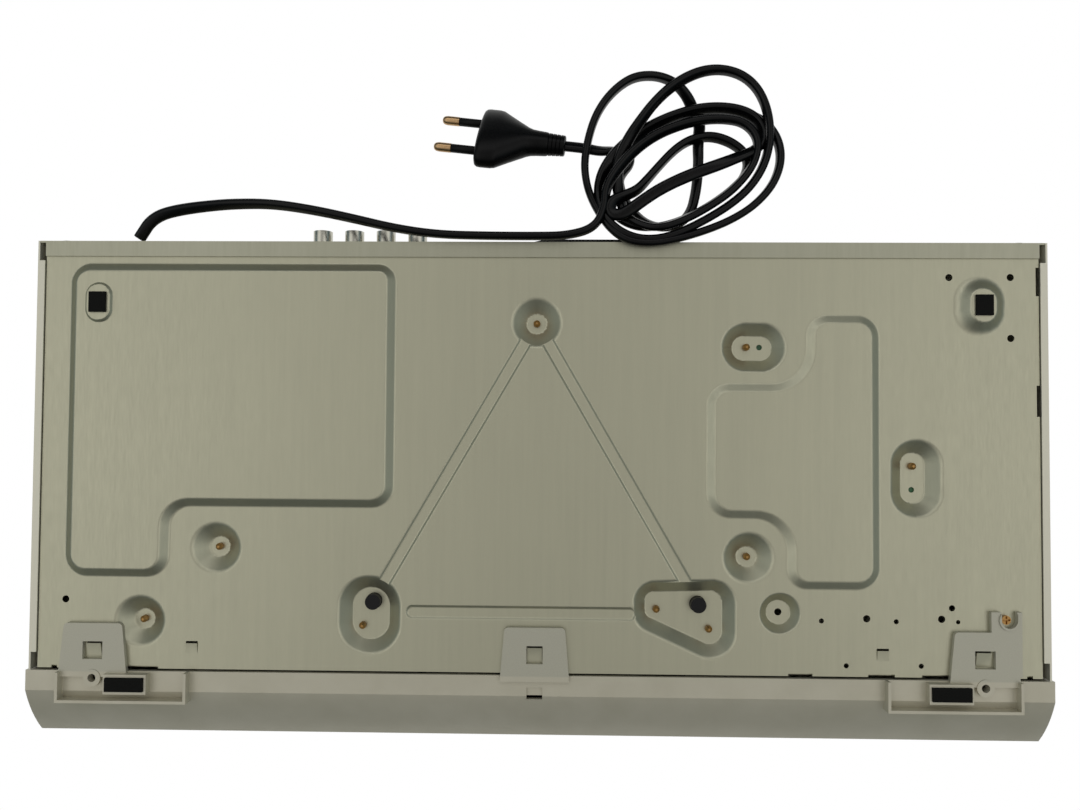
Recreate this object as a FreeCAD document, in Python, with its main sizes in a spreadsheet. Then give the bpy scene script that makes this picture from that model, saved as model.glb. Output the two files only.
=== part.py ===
import FreeCAD, Part
import Sketcher
import math
import os
from FreeCAD import Placement, Rotation, Vector

# A slim disc player for the shelf, 430 mm wide, built the way the real one comes apart on a bench.
# X runs to the right as seen from the front, the front faces -Y, Z is up.
# The origin is on the table under the middle of the player, half way from the lip of the
# front moulding to the tips of the audio jacks.  All sizes are millimetres and degrees.

SIZES = (
    # the case
    ("body_width", 430, "front moulding, end to end"),
    ("body_depth", 211, "lip of the front moulding to the outside of the rear panel"),
    ("body_height", 43, "table to the top of the front moulding"),
    ("jack_reach", 7.5, "how far the audio jacks stand out of the rear panel"),
    ("rear_room", 8.5, "depth behind the rear panel that is counted with the case when it is centred"),
    ("sheet_metal", 0.8, "thickness of every steel sheet of the case"),
    ("plate_rise", 5.2, "table to the underside of the floor plate"),
    ("chassis_width", 420.4, "floor plate between the outsides of its side walls"),
    ("cover_width", 427, "outside of the cover"),
    ("cover_drop", 0.5, "cover below the top of the front moulding"),
    ("shell_gap", 0.3, "assembly gap between two shells"),
    ("chassis_gap", 1.0, "gap between the front moulding and the floor plate"),
    ("side_wall_rise", 10, "folded side wall of the floor plate"),
    ("front_wall_rise", 14, "folded front wall of the floor plate"),
    # pressings in the floor plate
    ("boss_depth", 5.0, "screw bosses pressed up into the case"),
    ("boss_run", 7.6, "width of the sloping wall of a screw boss"),
    ("boss_radius", 11.4, "mouth of a round screw boss"),
    ("small_boss_radius", 9.0, "mouth of the spare boss"),
    ("small_boss_run", 4.2, "wall of the spare boss"),
    ("small_boss_depth", 3.8, "depth of the spare boss"),
    ("panel_depth", 3.0, "panel pressed down under the power supply"),
    ("panel_run", 4.6, "wall of that panel"),
    ("shallow_depth", 2.0, "panel pressed down under the main board"),
    ("shallow_run", 4.6, "wall of that panel"),
    ("bead_depth", 0.8, "stiffening beads under the loader"),
    ("bead_width", 6.4, "width of a bead"),
    ("bead_run", 1.6, "wall of a bead"),
    ("rear_foot_in", 29.5, "rear feet from the ends of the front moulding"),
    ("rear_foot_ahead", 26.65, "rear feet ahead of the rear panel"),
    ("foot_length", 17.2, "pressed foot, front to back"),
    ("foot_width", 12.0, "pressed foot, side to side"),
    ("dome_length", 25.8, "mouth of the pressed foot on the flat plate, front to back"),
    ("dome_width", 22.4, "the same, side to side"),
    ("dome_run", 6.4, "wall of that foot"),
    ("small_hole", 1.5, "radius of the open holes in the plate"),
    ("lance_width", 6.4, "lanced tongues that hold the front moulding"),
    ("lance_length", 6.0, "length of a tongue"),
    ("lance_drop", 1.4, "how far a tongue stands down"),
    # feet
    ("pad_thickness", 1.0, "rear rubber pads"),
    ("rear_pad_length", 8.6, "rear pad, front to back"),
    ("rear_pad_width", 7.0, "rear pad, side to side"),
    ("front_pad_length", 5.6, "front pad, front to back"),
    ("front_pad_width", 16.0, "front pad, side to side"),
    ("front_pad_sunk", 0.8, "front pad sunk into its block"),
    # cover
    ("cover_lip", 3.0, "edge of the cover folded in under the case"),
    ("lip_front", 7.6, "front end of that edge behind the front moulding"),
    ("lip_rear", 8.4, "rear end of that edge ahead of the rear panel"),
    ("rear_flap", 9.0, "rear edge of the cover folded down over the rear panel"),
    ("vent_length", 22, "cooling slots in the cover"),
    ("vent_width", 2.4, "width of a slot"),
    ("vent_pitch", 6.0, "slot to slot"),
    ("vent_count", 16, "slots in a row"),
    ("vent_middle_in", 65, "middle of the rows of slots from the right end"),
    ("vent_rear", 16, "slots ahead of the rear panel"),
    # rear panel
    ("panel_flange", 6.5, "foot of the rear panel folded under the floor plate"),
    ("panel_top_flange", 8.0, "top of the rear panel folded forward"),
    ("jack_height", 20, "audio jacks above the table"),
    ("jack_middle_x", 74.3, "middle of the row of jacks"),
    ("jack_pitch", 14, "jack to jack"),
    ("jack_count", 4, "audio and video jacks"),
    ("jack_radius", 4.15, "outside of the metal sleeve of a jack"),
    ("jack_neck", 3.95, "its barrel where it passes the panel"),
    ("jack_bore", 3.45, "inside of that sleeve"),
    ("jack_pin_hole", 1.65, "centre contact hole of a jack"),
    ("jack_body_side", 11.4, "square moulding of a jack"),
    ("jack_body_depth", 12, "depth of that moulding behind the panel"),
    ("scart_x", -21.5, "middle of the wide socket"),
    ("scart_width", 46.6, "wide socket"),
    ("scart_height", 15.4, "height of the wide socket"),
    ("scart_level", 22.3, "middle of the wide socket above the table"),
    ("scart_reach", 3.3, "wide socket beyond the rear panel"),
    ("scart_depth", 19, "moulding of the wide socket behind the panel"),
    ("scart_wall", 1.6, "rim of the wide socket"),
    ("scart_cavity", 8.0, "depth of its mouth"),
    ("cord_in", 34.5, "mains cord from the right end"),
    ("cord_height", 20, "mains cord above the table where it leaves"),
    ("cord_hole", 4.6, "radius of its hole in the panel"),
    ("panel_screw_in", 9, "outer screws of the rear panel from the ends"),
    ("panel_screw_height", 15, "those screws above the table"),
    ("corner_tab_rise", 12.4, "folded corner tabs that those screws hold"),
    # front moulding
    ("bezel_depth", 28.85, "front moulding, front to back"),
    ("bezel_wall", 2.2, "wall of the front moulding"),
    ("strip_rise", 4.8, "table to the underside of the front moulding"),
    ("strip_depth", 8.5, "flat part of that underside"),
    ("lip_rise", 17.8, "table to the lip of the front moulding"),
    ("chin_bulge", 60, "radius of the bulged face under the lip"),
    ("fascia_set", 1.2, "flat face behind the lip"),
    ("bezel_edge", 1.4, "rounding of the top front edge"),
    ("tab_rise", 3.2, "table to the underside of the three tabs"),
    ("tab_thick", 1.9, "thickness of a tab"),
    ("tab_length", 20.2, "tabs behind the front moulding"),
    ("tab_corner", 1.7, "rounding of a tab's rear corners"),
    ("side_tab_in", 29.2, "middle of the side tabs from the ends"),
    ("side_tab_root", 29.2, "side tab at its root"),
    ("side_tab_end", 24.6, "side tab at its end"),
    ("middle_tab_root", 29.0, "middle tab at its root"),
    ("middle_tab_end", 25.2, "middle tab at its end"),
    ("catch_width", 8.4, "window of a side tab"),
    ("middle_catch", 6.8, "window of the middle tab"),
    ("catch_length", 7.4, "windows, front to back"),
    ("catch_back", 5.2, "windows behind the front moulding"),
    ("rim_rise", 1.0, "table to the rims round the front feet"),
    ("rim_inner_in", 69.8, "inner end of a rim from the end"),
    ("rim_outer_in", 14.6, "outer end of a rim from the end"),
    ("rim_depth", 12.6, "rim, front to back"),
    ("rim_wall", 1.2, "wall of a rim"),
    ("block_in", 44, "middle of a front foot block from the end"),
    ("block_width", 18.0, "front foot block, side to side"),
    ("block_length", 8.2, "front foot block, front to back"),
    ("screw_eye", 3.6, "radius of the screw eye on a side tab"),
    ("screw_eye_hole", 1.7, "its hole"),
    ("ear_length", 8.4, "screw ear behind the left-hand tab"),
    ("ear_inner_in", 26.6, "inner edge of that ear from the end"),
    ("ear_outer_in", 14, "outer edge of that ear from the end"),
    ("ear_slot_in", 19.3, "its open slot from the end"),
    ("ear_slot", 3.3, "radius of that slot"),
    ("ear_collar", 0.9, "wall of the collar round that slot"),
    ("ear_screw_in", 20.2, "its screw from the end"),
    ("ear_head", 1.9, "head of that screw"),
    # tray opening, display and buttons
    ("opening_width", 142.4, "tray opening"),
    ("opening_low", 24.6, "its lower edge above the table"),
    ("opening_height", 12.8, "its height"),
    ("door_gap", 0.4, "gap round the tray door"),
    ("door_thick", 3.2, "tray door"),
    ("window_inner_x", 84, "inner end of the display window"),
    ("window_outer_in", 43, "outer end of the display window from the end"),
    ("window_low", 23, "lower edge of the window above the table"),
    ("window_high", 38, "upper edge of the window above the table"),
    ("window_set", 0.3, "window behind the flat face"),
    ("window_ledge", 1.5, "ledge that the window sits on"),
    ("button_level", 30, "buttons above the table"),
    ("button_stand", 0.8, "buttons proud of the flat face"),
    ("button_gap", 0.25, "gap round a button"),
    ("button_tall", 7, "height of a button"),
    ("button_flange", 1.0, "flange that keeps a button in"),
    ("play_share", 0.78, "width of a small button as a share of the pitch"),
    ("open_width", 16, "width of the open button"),
    ("open_x", 97, "open button from the middle"),
    ("play_x", 124, "play button from the middle"),
    ("row_gap", 22, "last small button to the power button"),
    ("power_in", 15, "power button from the end"),
    ("power_radius", 6, "power button"),
    ("board_back", 11, "boards behind the flat face"),
    ("board_thick", 1.6, "every circuit board"),
    # loader
    ("loader_rear_gap", 25.25, "loader ahead of the rear panel"),
    ("loader_set", 1.5, "loader behind the front wall of the floor plate"),
    ("loader_wall", 2.6, "side walls of the loader"),
    ("loader_floor", 2.5, "floor of the loader"),
    ("loader_screw_x", 73.2, "front loader screws from the middle"),
    ("loader_ear", 5, "ears round those screws"),
    ("loader_screw_back", 18.2, "front loader screws behind the front wall of the plate"),
    ("loader_rear_share", 0.69, "rear loader screw between the well and the loader's rear end"),
    ("second_screw_x", -51.1, "second screw of the left boss"),
    ("second_screw_back", 26.3, "the same, behind the front wall of the plate"),
    ("post_x", 68.6, "locating posts from the middle"),
    ("post_back", 28.5, "locating posts behind the front wall of the plate"),
    ("post_radius", 3.25, "locating posts"),
    ("well_width", 92, "well for the swinging carriage"),
    ("well_tail", 9, "that well behind the pivot of the carriage"),
    ("bridge_gap", 4.2, "bridge above the tray"),
    ("bridge_thick", 1.6, "bridge"),
    ("bridge_width", 32, "bridge, front to back"),
    ("bridge_hole", 12, "radius of its hole"),
    ("puck_radius", 11.5, "clamp puck in that hole"),
    ("puck_flange", 14, "radius of its flange"),
    ("puck_drop", 1.2, "puck below the bridge"),
    ("puck_top", 1.7, "thickness of its flange"),
    # tray
    ("disc_back", 73.75, "middle of the disc behind the lip of the front moulding"),
    ("disc_well", 61, "radius of the disc well"),
    ("disc_well_depth", 2.0, "depth of the disc well"),
    ("small_well", 41, "radius of the well for small discs"),
    ("small_well_depth", 1.2, "its extra depth"),
    ("tray_level", 27, "underside of the tray above the table"),
    ("tray_thick", 5.4, "tray"),
    ("tray_width", 138.4, "tray over its runners"),
    ("runner_width", 3.2, "runners at the tray's edges"),
    ("runner_tall", 2.0, "runners"),
    ("tray_gap", 0.4, "gap beside the runners"),
    ("tray_lift_gap", 0.25, "gap under and over the runners"),
    ("tray_rear_gap", 18, "tray ahead of the rear end of the loader"),
    ("slot_width", 38, "slot for the pickup in the tray"),
    ("slot_behind", 69, "that slot behind the middle of the disc"),
    # tray drive
    ("drive_back", 11.9, "row of gears behind the front wall of the plate"),
    ("rack_module", 1.0, "rack and its pinion"),
    ("pinion_teeth", 14, "pinion in the rack"),
    ("rack_pitch_x", 55, "pitch line of the rack"),
    ("rack_thick", 1.8, "rack under the tray"),
    ("rack_back", 3.8, "back of the rack behind its teeth"),
    ("train_module", 0.6, "gear train"),
    ("wheel_teeth", 30, "wheel under the pinion"),
    ("small_teeth", 12, "gear under the pulley"),
    ("gear_level", 15, "underside of the gear train above the table"),
    ("gear_thick", 3.0, "gears of the train"),
    ("pulley_core", 6.9, "bottom of the groove of the large pulley"),
    ("motor_pulley_core", 2.0, "bottom of the groove of the motor pulley"),
    ("groove_depth", 1.4, "grooves of both pulleys"),
    ("flange_thick", 0.8, "flanges of both pulleys"),
    ("groove_width", 2.0, "grooves of both pulleys"),
    ("pulley_level", 18.5, "underside of both pulleys above the table"),
    ("belt_side", 1.2, "square belt"),
    ("belt_gap", 0.3, "slack between the belt and a groove"),
    ("motor_x", -8, "tray motor"),
    ("tray_motor_radius", 8, "tray motor"),
    ("bore_gap", 0.06, "running gap of shafts in bores"),
    ("gear_pin", 2.0, "pin of the pinion"),
    ("pulley_pin", 1.5, "pin of the large pulley"),
    # swinging carriage
    ("pivot_back", 74, "pivot of the carriage behind the middle of the disc"),
    ("pivot_level", 20, "pivot above the table"),
    ("tilt", 7, "how far the carriage swings down when the tray is free"),
    ("carriage_width", 84, "carriage"),
    ("carriage_nose", 18, "carriage ahead of the middle of the disc"),
    ("carriage_tail", 4, "carriage behind its pivot"),
    ("carriage_level", 18.6, "underside of the carriage when level"),
    ("carriage_thick", 2.5, "carriage"),
    ("pivot_radius", 2.5, "stub axles of the carriage"),
    ("rod_radius", 1.5, "guide rods"),
    ("rod_x", 23, "guide rods from the middle"),
    ("rod_level", 23.9, "guide rods when level"),
    ("rod_start", 13.5, "front ends of the guide rods behind the middle of the disc"),
    ("rod_end", 72.5, "rear ends of the guide rods behind the middle of the disc"),
    ("ear_thick", 3.0, "ears that hold the rods"),
    ("ear_top", 26.4, "top of those ears when level"),
    ("spindle_motor_radius", 12.4, "spindle motor"),
    ("spindle_motor_low", 17.2, "underside of the spindle motor when level"),
    ("spindle_motor_high", 24.0, "top of the spindle motor when level"),
    ("spindle_plate", 31, "square plate of the spindle motor"),
    ("shaft_radius", 1.5, "spindle"),
    ("turntable_radius", 14.5, "turntable"),
    ("turntable_thick", 1.6, "turntable"),
    ("disc_seat", 33.0, "disc seat when level"),
    ("cone_radius", 7.3, "centring cone, 15 mm disc hole"),
    ("cone_rise", 1.8, "centring cone above the seat"),
    ("hub_radius", 5.0, "turntable hub"),
    ("lens_near", 24, "lens from the spindle at the first track"),
    ("pickup_width", 54, "pickup"),
    ("pickup_ahead", 7, "pickup ahead of its lens"),
    ("pickup_behind", 11, "pickup behind its lens"),
    ("pickup_low", 21.4, "underside of the pickup when level"),
    ("lens_radius", 3.6, "objective lens holder"),
    ("lens_low", 26.65, "lens holder when level"),
    ("lens_high", 27.9, "top of the lens when level"),
    ("screw_x", 33, "lead screw from the middle"),
    ("lead_radius", 1.4, "lead screw"),
    ("journal_radius", 0.9, "rear journal of the lead screw"),
    ("sled_motor_length", 20, "sled motor"),
    ("sled_motor_side", 9, "sled motor"),
    # lift slide in front of the carriage
    ("lift_travel", 24, "travel of the lift slide"),
    ("lift_thick", 2.4, "lift slide"),
    ("lift_gap", 0.3, "gap in front of the lift slide"),
    ("lift_pin_radius", 1.5, "pin of the carriage in the lift slide"),
    ("lift_pin_level", 23.5, "that pin when level"),
    ("slot_play", 0.5, "play of the pin in its slot"),
    ("lift_rim", 1.3, "material round that slot"),
    # boards inside
    ("supply_inner_in", 97, "power supply board, inner edge from the right end"),
    ("supply_outer_in", 17, "power supply board, outer edge from the right end"),
    ("supply_front_gap", 11.9, "power supply board behind the front wall of the plate"),
    ("supply_rear_gap", 37.25, "power supply board ahead of the rear panel"),
    ("main_gap", 1.8, "main board beside the ears of the loader"),
    ("main_outer_in", 45, "main board, outer edge from the left end"),
    ("main_front_gap", 37.9, "main board behind the front wall of the plate"),
    ("main_rear_gap", 33.25, "main board ahead of the rear panel"),
    ("jack_board_depth", 19, "jack board, front to back"),
    ("transformer_length", 32, "transformer"),
    ("transformer_width", 28, "transformer"),
    ("transformer_height", 24, "transformer"),
    ("big_can_radius", 11, "mains capacitor"),
    ("big_can_height", 26, "mains capacitor"),
    ("can_radius", 5, "output capacitors"),
    ("can_height", 16, "output capacitors"),
    ("sink_height", 24, "heat sink"),
    ("sink_width", 30, "heat sink"),
    ("fin_thick", 2, "fins of the heat sink"),
    ("chip_side", 24, "decoder chip"),
    ("memory_length", 22, "memory chips"),
    ("memory_width", 10, "memory chips"),
    ("chip_height", 1.5, "chips"),
    # fasteners
    ("shank_radius", 1.45, "every screw"),
    ("head_radius", 2.9, "every screw head"),
    ("head_height", 1.8, "every screw head"),
    ("tip_reach", 1.7, "screw tips below the boss they hold"),
    # mains cord
    ("cord_radius", 2.3, "round section with the area of the flat twin cord and its air"),
    ("relief_root", 4.4, "strain relief in the panel"),
    ("relief_tip", 3.0, "strain relief at its end"),
    ("relief_inside", 8, "strain relief inside the panel"),
    ("coil_height", 16, "height of the loose coil"),
    ("coil_entry", -33.4, "where the cord goes into the coil"),
    ("plug_back", 48.55, "face of the plug behind the rear panel"),
    ("plug_width", 35.3, "flat two-pin plug"),
    ("plug_thick", 13.7, "flat two-pin plug"),
    ("plug_body", 17, "straight part of the plug's body"),
    ("plug_taper", 8, "shoulders of the plug"),
    ("plug_neck", 12, "strain relief of the plug"),
    ("plug_neck_radius", 4.4, "that strain relief"),
    ("pin_spacing", 18.6, "pins at the plug's face"),
    ("pin_radius", 2.0, "plug pins"),
    ("pin_root", 1.7, "a pin inside the plug"),
    ("pin_length", 19, "plug pins"),
    ("plug_roll", 34, "plug rolled onto its edge"),
    ("plug_heading", 7, "plug turned on the table"),
    ("plug_dip", 3, "neck of the plug below its pins"),
)

doc = FreeCAD.newDocument("disc_player")
sheet = doc.addObject("Spreadsheet::Sheet", "Sizes")


class Size:
    """A number that also knows how the size sheet writes it, so it can drive a property."""

    def __init__(self, number, text):
        self.number = float(number)
        self.text = text

    def __float__(self):
        return self.number

    def __neg__(self):
        return Size(-self.number, "(-" + self.text + ")")

    def __add__(self, other):
        return Size(self.number + float(other), "(" + self.text + " + " + text_of(other) + ")")

    def __sub__(self, other):
        return Size(self.number - float(other), "(" + self.text + " - " + text_of(other) + ")")

    def __mul__(self, other):
        return Size(self.number * float(other), "(" + self.text + " * " + text_of(other) + ")")

    def __truediv__(self, other):
        return Size(self.number / float(other), "(" + self.text + " / " + text_of(other) + ")")

    def __radd__(self, other):
        return Size(float(other) + self.number, "(" + text_of(other) + " + " + self.text + ")")

    def __rsub__(self, other):
        return Size(float(other) - self.number, "(" + text_of(other) + " - " + self.text + ")")

    def __rmul__(self, other):
        return self * other

    def __lt__(self, other):
        return self.number < float(other)


def text_of(value):
    """How a value is written in an expression."""
    if isinstance(value, Size):
        return value.text
    return "(" + format(float(value), ".8g") + ")"


class SizeTable:
    """Every driving size under its own name, read back from the sheet."""

    def __init__(self):
        for row, (name, number, words) in enumerate(SIZES, start=1):
            sheet.set("A%d" % row, name)
            sheet.set("B%d" % row, str(number))
            sheet.set("C%d" % row, words)
            sheet.setAlias("B%d" % row, name)
        doc.recompute()
        for name, number, words in SIZES:
            setattr(self, name, Size(sheet.get(name), "Sizes." + name))


d = SizeTable()
pieces = []


def keep(item, label):
    """Name a finished piece; its label is the name of its file."""
    item.Label = label
    pieces.append(item)
    return item


def bind(item, prop, value):
    item.setExpression(prop, text_of(value))


def place(item, corner):
    for axis, value in zip("xyz", corner):
        bind(item, "Placement.Base." + axis, value)


# Blocks, rounds and their sums

TURNS = {
    "x": Rotation(Vector(0, 1, 0), 90),
    "y": Rotation(Vector(1, 0, 0), -90),
    "z": Rotation(),
}


def box(low, high):
    item = doc.addObject("Part::Box", "Block")
    for prop, start, end in zip(("Length", "Width", "Height"), low, high):
        bind(item, prop, end - start)
    place(item, low)
    return item


def round_bar(start, radius, length, axis="z"):
    """A cylinder from the middle of its first end, along an axis."""
    item = doc.addObject("Part::Cylinder", "Round")
    item.Placement = Placement(Vector(), TURNS[axis])
    bind(item, "Radius", radius)
    bind(item, "Height", length)
    place(item, start)
    return item


def cone(start, first_radius, second_radius, length, axis="z"):
    item = doc.addObject("Part::Cone", "Taper")
    item.Placement = Placement(Vector(), TURNS[axis])
    bind(item, "Radius1", first_radius)
    bind(item, "Radius2", second_radius)
    bind(item, "Height", length)
    place(item, start)
    return item


def fuse(items):
    if len(items) == 1:
        return items[0]
    item = doc.addObject("Part::MultiFuse", "Sum")
    item.Shapes = items
    item.Refine = True
    return item


def cut(base, tools):
    item = doc.addObject("Part::Cut", "Rest")
    item.Base = base
    item.Tool = fuse(tools)
    return item


def group(items):
    """Separate solids that share one node."""
    item = doc.addObject("Part::Compound", "Set")
    item.Links = items
    return item


def solid_feature(shape, label):
    item = doc.addObject("Part::Feature", "Shaped")
    item.Shape = shape
    return keep(item, label)


# Sketches whose every point is bound to the sheet

def polygon(*points, bulges=None):
    """A closed outline through points of two sizes each, its edges straight or bulged to a radius."""
    bulges = bulges or {}

    def draw(sketch):
        first = sketch.GeometryCount
        count = len(points)
        for index, (here, there) in enumerate(zip(points, points[1:] + points[:1])):
            start, end = Vector(here[0], here[1], 0), Vector(there[0], there[1], 0)
            if index in bulges:
                sketch.addGeometry(bulged_edge(start, end, float(bulges[index])), False)
                rule = Sketcher.Constraint("Radius", first + index, float(bulges[index]))
                number = sketch.addConstraint(rule)
                sketch.setExpression("Constraints[%d]" % number, text_of(bulges[index]))
            else:
                sketch.addGeometry(Part.LineSegment(start, end), False)
        for index in range(count):
            after = first + (index + 1) % count
            sketch.addConstraint(Sketcher.Constraint("Coincident", first + index, 2, after, 1))
        for index, point in enumerate(points):
            pin_point(sketch, first + index, 1, point)
    return draw


def bulged_edge(start, end, radius):
    """An arc from start to end that swells to the right of the way it goes."""
    chord = end - start
    depth = radius - math.sqrt(radius ** 2 - (chord.Length / 2) ** 2)
    right = Vector(chord.y, -chord.x, 0).normalize()
    return Part.Arc(start, (start + end) * 0.5 + right * depth, end)


def pin_point(sketch, edge, end, point):
    for kind, value in zip(("DistanceX", "DistanceY"), point):
        number = sketch.addConstraint(Sketcher.Constraint(kind, -1, 1, edge, end, float(value)))
        sketch.setExpression("Constraints[%d]" % number, text_of(value))


def rectangle(low_x, low_y, high_x, high_y):
    return polygon((low_x, low_y), (high_x, low_y), (high_x, high_y), (low_x, high_y))


def circle(x, y, radius):
    def draw(sketch):
        shape = Part.Circle(Vector(x, y, 0), Vector(0, 0, 1), float(radius))
        edge = sketch.addGeometry(shape, False)
        pin_point(sketch, edge, 3, (x, y))
        number = sketch.addConstraint(Sketcher.Constraint("Radius", edge, float(radius)))
        sketch.setExpression("Constraints[%d]" % number, text_of(radius))
    return draw


def rounded(low_x, low_y, high_x, high_y, radius):
    """A rectangle with round corners."""
    def draw(sketch):
        lines = (
            ((low_x + radius, low_y), (high_x - radius, low_y)),
            ((high_x, low_y + radius), (high_x, high_y - radius)),
            ((high_x - radius, high_y), (low_x + radius, high_y)),
            ((low_x, high_y - radius), (low_x, low_y + radius)),
        )
        centres = (
            (high_x - radius, low_y + radius),
            (high_x - radius, high_y - radius),
            (low_x + radius, high_y - radius),
            (low_x + radius, low_y + radius),
        )
        first = sketch.GeometryCount
        for quarter, ((start, end), centre) in enumerate(zip(lines, centres)):
            points = [Vector(point[0], point[1], 0) for point in (start, end)]
            sketch.addGeometry(Part.LineSegment(points[0], points[1]), False)
            middle = Vector(centre[0], centre[1], 0)
            whole = Part.Circle(middle, Vector(0, 0, 1), float(radius))
            angle = (quarter - 1) * math.pi / 2
            sketch.addGeometry(Part.ArcOfCircle(whole, angle, angle + math.pi / 2), False)
        for quarter, (start, end) in enumerate(lines):
            line = first + 2 * quarter
            arc = line + 1
            after = first + (2 * quarter + 2) % 8
            sketch.addConstraint(Sketcher.Constraint("Coincident", line, 2, arc, 1))
            sketch.addConstraint(Sketcher.Constraint("Coincident", arc, 2, after, 1))
            pin_point(sketch, line, 1, start)
            pin_point(sketch, line, 2, end)
            number = sketch.addConstraint(Sketcher.Constraint("Radius", arc, float(radius)))
            sketch.setExpression("Constraints[%d]" % number, text_of(radius))
    return draw


def body(label):
    return keep(doc.addObject("PartDesign::Body", label), label)


def sketch_on(owner, plane, level, outlines):
    """A sketch on one of the body's own planes, moved along that plane's axis."""
    sketch = owner.newObject("Sketcher::SketchObject", "Outline")
    role = plane + "_Plane"
    support = [item for item in owner.Origin.OriginFeatures if item.Role == role][0]
    sketch.AttachmentSupport = (support, [""])
    sketch.MapMode = "FlatFace"
    bind(sketch, "AttachmentOffset.Base.z", -1 * level if plane == "XZ" else level)
    for outline in outlines:
        outline(sketch)
    return sketch


def pad(owner, plane, start, end, *outlines):
    """Material between two levels of the axis that the plane faces."""
    level = end if plane == "XZ" else start
    feature = owner.newObject("PartDesign::Pad", "Pad")
    feature.Profile = sketch_on(owner, plane, level, outlines)
    bind(feature, "Length", end - start)
    return feature


def pocket(owner, plane, start, end, *outlines):
    """A cut between two levels of the axis that the plane faces."""
    level = start if plane == "XZ" else end
    feature = owner.newObject("PartDesign::Pocket", "Pocket")
    feature.Profile = sketch_on(owner, plane, level, outlines)
    bind(feature, "Length", end - start)
    return feature


def row_of(owner, feature, axis, pitch, count):
    """Repeat a feature along an axis of the body."""
    pattern = owner.newObject("PartDesign::LinearPattern", "Row")
    line = [item for item in owner.Origin.OriginFeatures if item.Role == axis + "_Axis"][0]
    pattern.Originals = [feature]
    pattern.Direction = (line, [""])
    bind(pattern, "Length", pitch * (count - 1))
    bind(pattern, "Occurrences", count)
    owner.Tip = pattern
    return pattern


def soften(owner, radius, chosen):
    """Round the edges of the body that a test chooses."""
    doc.recompute()
    base = owner.Tip
    names = ["Edge%d" % number for number, edge in enumerate(base.Shape.Edges, start=1) if chosen(edge)]
    feature = owner.newObject("PartDesign::Fillet", "Rounding")
    feature.Base = (base, names)
    bind(feature, "Radius", radius)
    return feature


# Levels and places that follow from the sizes

half_body = d.body_width / 2
half_cover = d.cover_width / 2
half_chassis = d.chassis_width / 2
lip_y = (d.body_depth + d.rear_room) * -0.5
rear_y = lip_y + d.body_depth
panel_inner_y = rear_y - d.sheet_metal
bezel_rear_y = lip_y + d.bezel_depth
chassis_front_y = bezel_rear_y + d.chassis_gap
plate_low = d.plate_rise
plate_top = plate_low + d.sheet_metal
lip_low = plate_low - d.sheet_metal
seat = plate_top + d.boss_depth
cover_top = d.body_height - d.cover_drop
cover_under = cover_top - d.sheet_metal
fascia_y = lip_y + d.fascia_set
fascia_back_y = fascia_y + d.bezel_wall
disc_y = lip_y + d.disc_back
foot_low = d.pad_thickness
ear_screw_y = bezel_rear_y + d.tab_length + d.ear_length - d.ear_slot


# Places are measured from the nearest end, front wall or rear panel, and the loader's from the disc

def right(inset):
    return half_body - inset


def left(inset):
    return inset - half_body


def behind_wall(distance):
    return chassis_front_y + distance


def ahead_of_panel(distance):
    return rear_y - distance


rear_foot_x = right(d.rear_foot_in)
rear_foot_y = ahead_of_panel(d.rear_foot_ahead)
cord_x = right(d.cord_in)
panel_screw_x = right(d.panel_screw_in)
side_tab_x = right(d.side_tab_in)
rim_inner_x = right(d.rim_inner_in)
rim_outer_x = right(d.rim_outer_in)
block_x = right(d.block_in)
ear_inner_x = right(d.ear_inner_in)
ear_outer_x = right(d.ear_outer_in)
ear_screw_x = right(d.ear_screw_in)
ear_slot_x = right(d.ear_slot_in)
window_outer_x = right(d.window_outer_in)
power_x = right(d.power_in)
button_pitch = (power_x - d.play_x - d.row_gap) / 3
play_width = button_pitch * d.play_share
loader_front_y = behind_wall(d.loader_set)
loader_rear_edge = ahead_of_panel(d.loader_rear_gap)
pivot_y = disc_y + d.pivot_back
well_rear = pivot_y + d.well_tail
loader_rear_y = well_rear + (loader_rear_edge - well_rear) * d.loader_rear_share
loader_screw_y = behind_wall(d.loader_screw_back)
second_screw_y = behind_wall(d.second_screw_back)
post_y = behind_wall(d.post_back)
drive_y = behind_wall(d.drive_back)
tray_rear = loader_rear_edge - d.tray_rear_gap
slot_rear = disc_y + d.slot_behind
rod_front = disc_y + d.rod_start
rod_rear = disc_y + d.rod_end
supply_inner_x = right(d.supply_inner_in)
supply_outer_x = right(d.supply_outer_in)
supply_front = behind_wall(d.supply_front_gap)
supply_rear = ahead_of_panel(d.supply_rear_gap)
main_inner_x = -1 * (d.loader_screw_x + d.loader_ear + d.main_gap)
main_outer_x = left(d.main_outer_in)
main_front = behind_wall(d.main_front_gap)
main_rear = ahead_of_panel(d.main_rear_gap)

# Outlines of the pressings: each takes how far it is drawn in and the level of the wire


def rounded_wire(corners, level):
    """A closed wire with a tangent arc at each corner (x, y, radius)."""
    points = [Vector(x, y, level) for x, y, radius in corners]
    arcs = []
    for index, here in enumerate(points):
        before = (points[index - 1] - here).normalize()
        after = (points[(index + 1) % len(points)] - here).normalize()
        half = before.getAngle(after) / 2
        radius = corners[index][2]
        reach = radius / math.tan(half)
        inward = (before + after).normalize()
        middle = here + inward * (radius / math.sin(half) - radius)
        arcs.append((here + before * reach, middle, here + after * reach))
    edges = []
    for index, (start, middle, end) in enumerate(arcs):
        edges.append(Part.Arc(start, middle, end).toShape())
        following = arcs[(index + 1) % len(arcs)][0]
        edges.append(Part.makeLine(end, following))
    return Part.Wire(edges)


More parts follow.
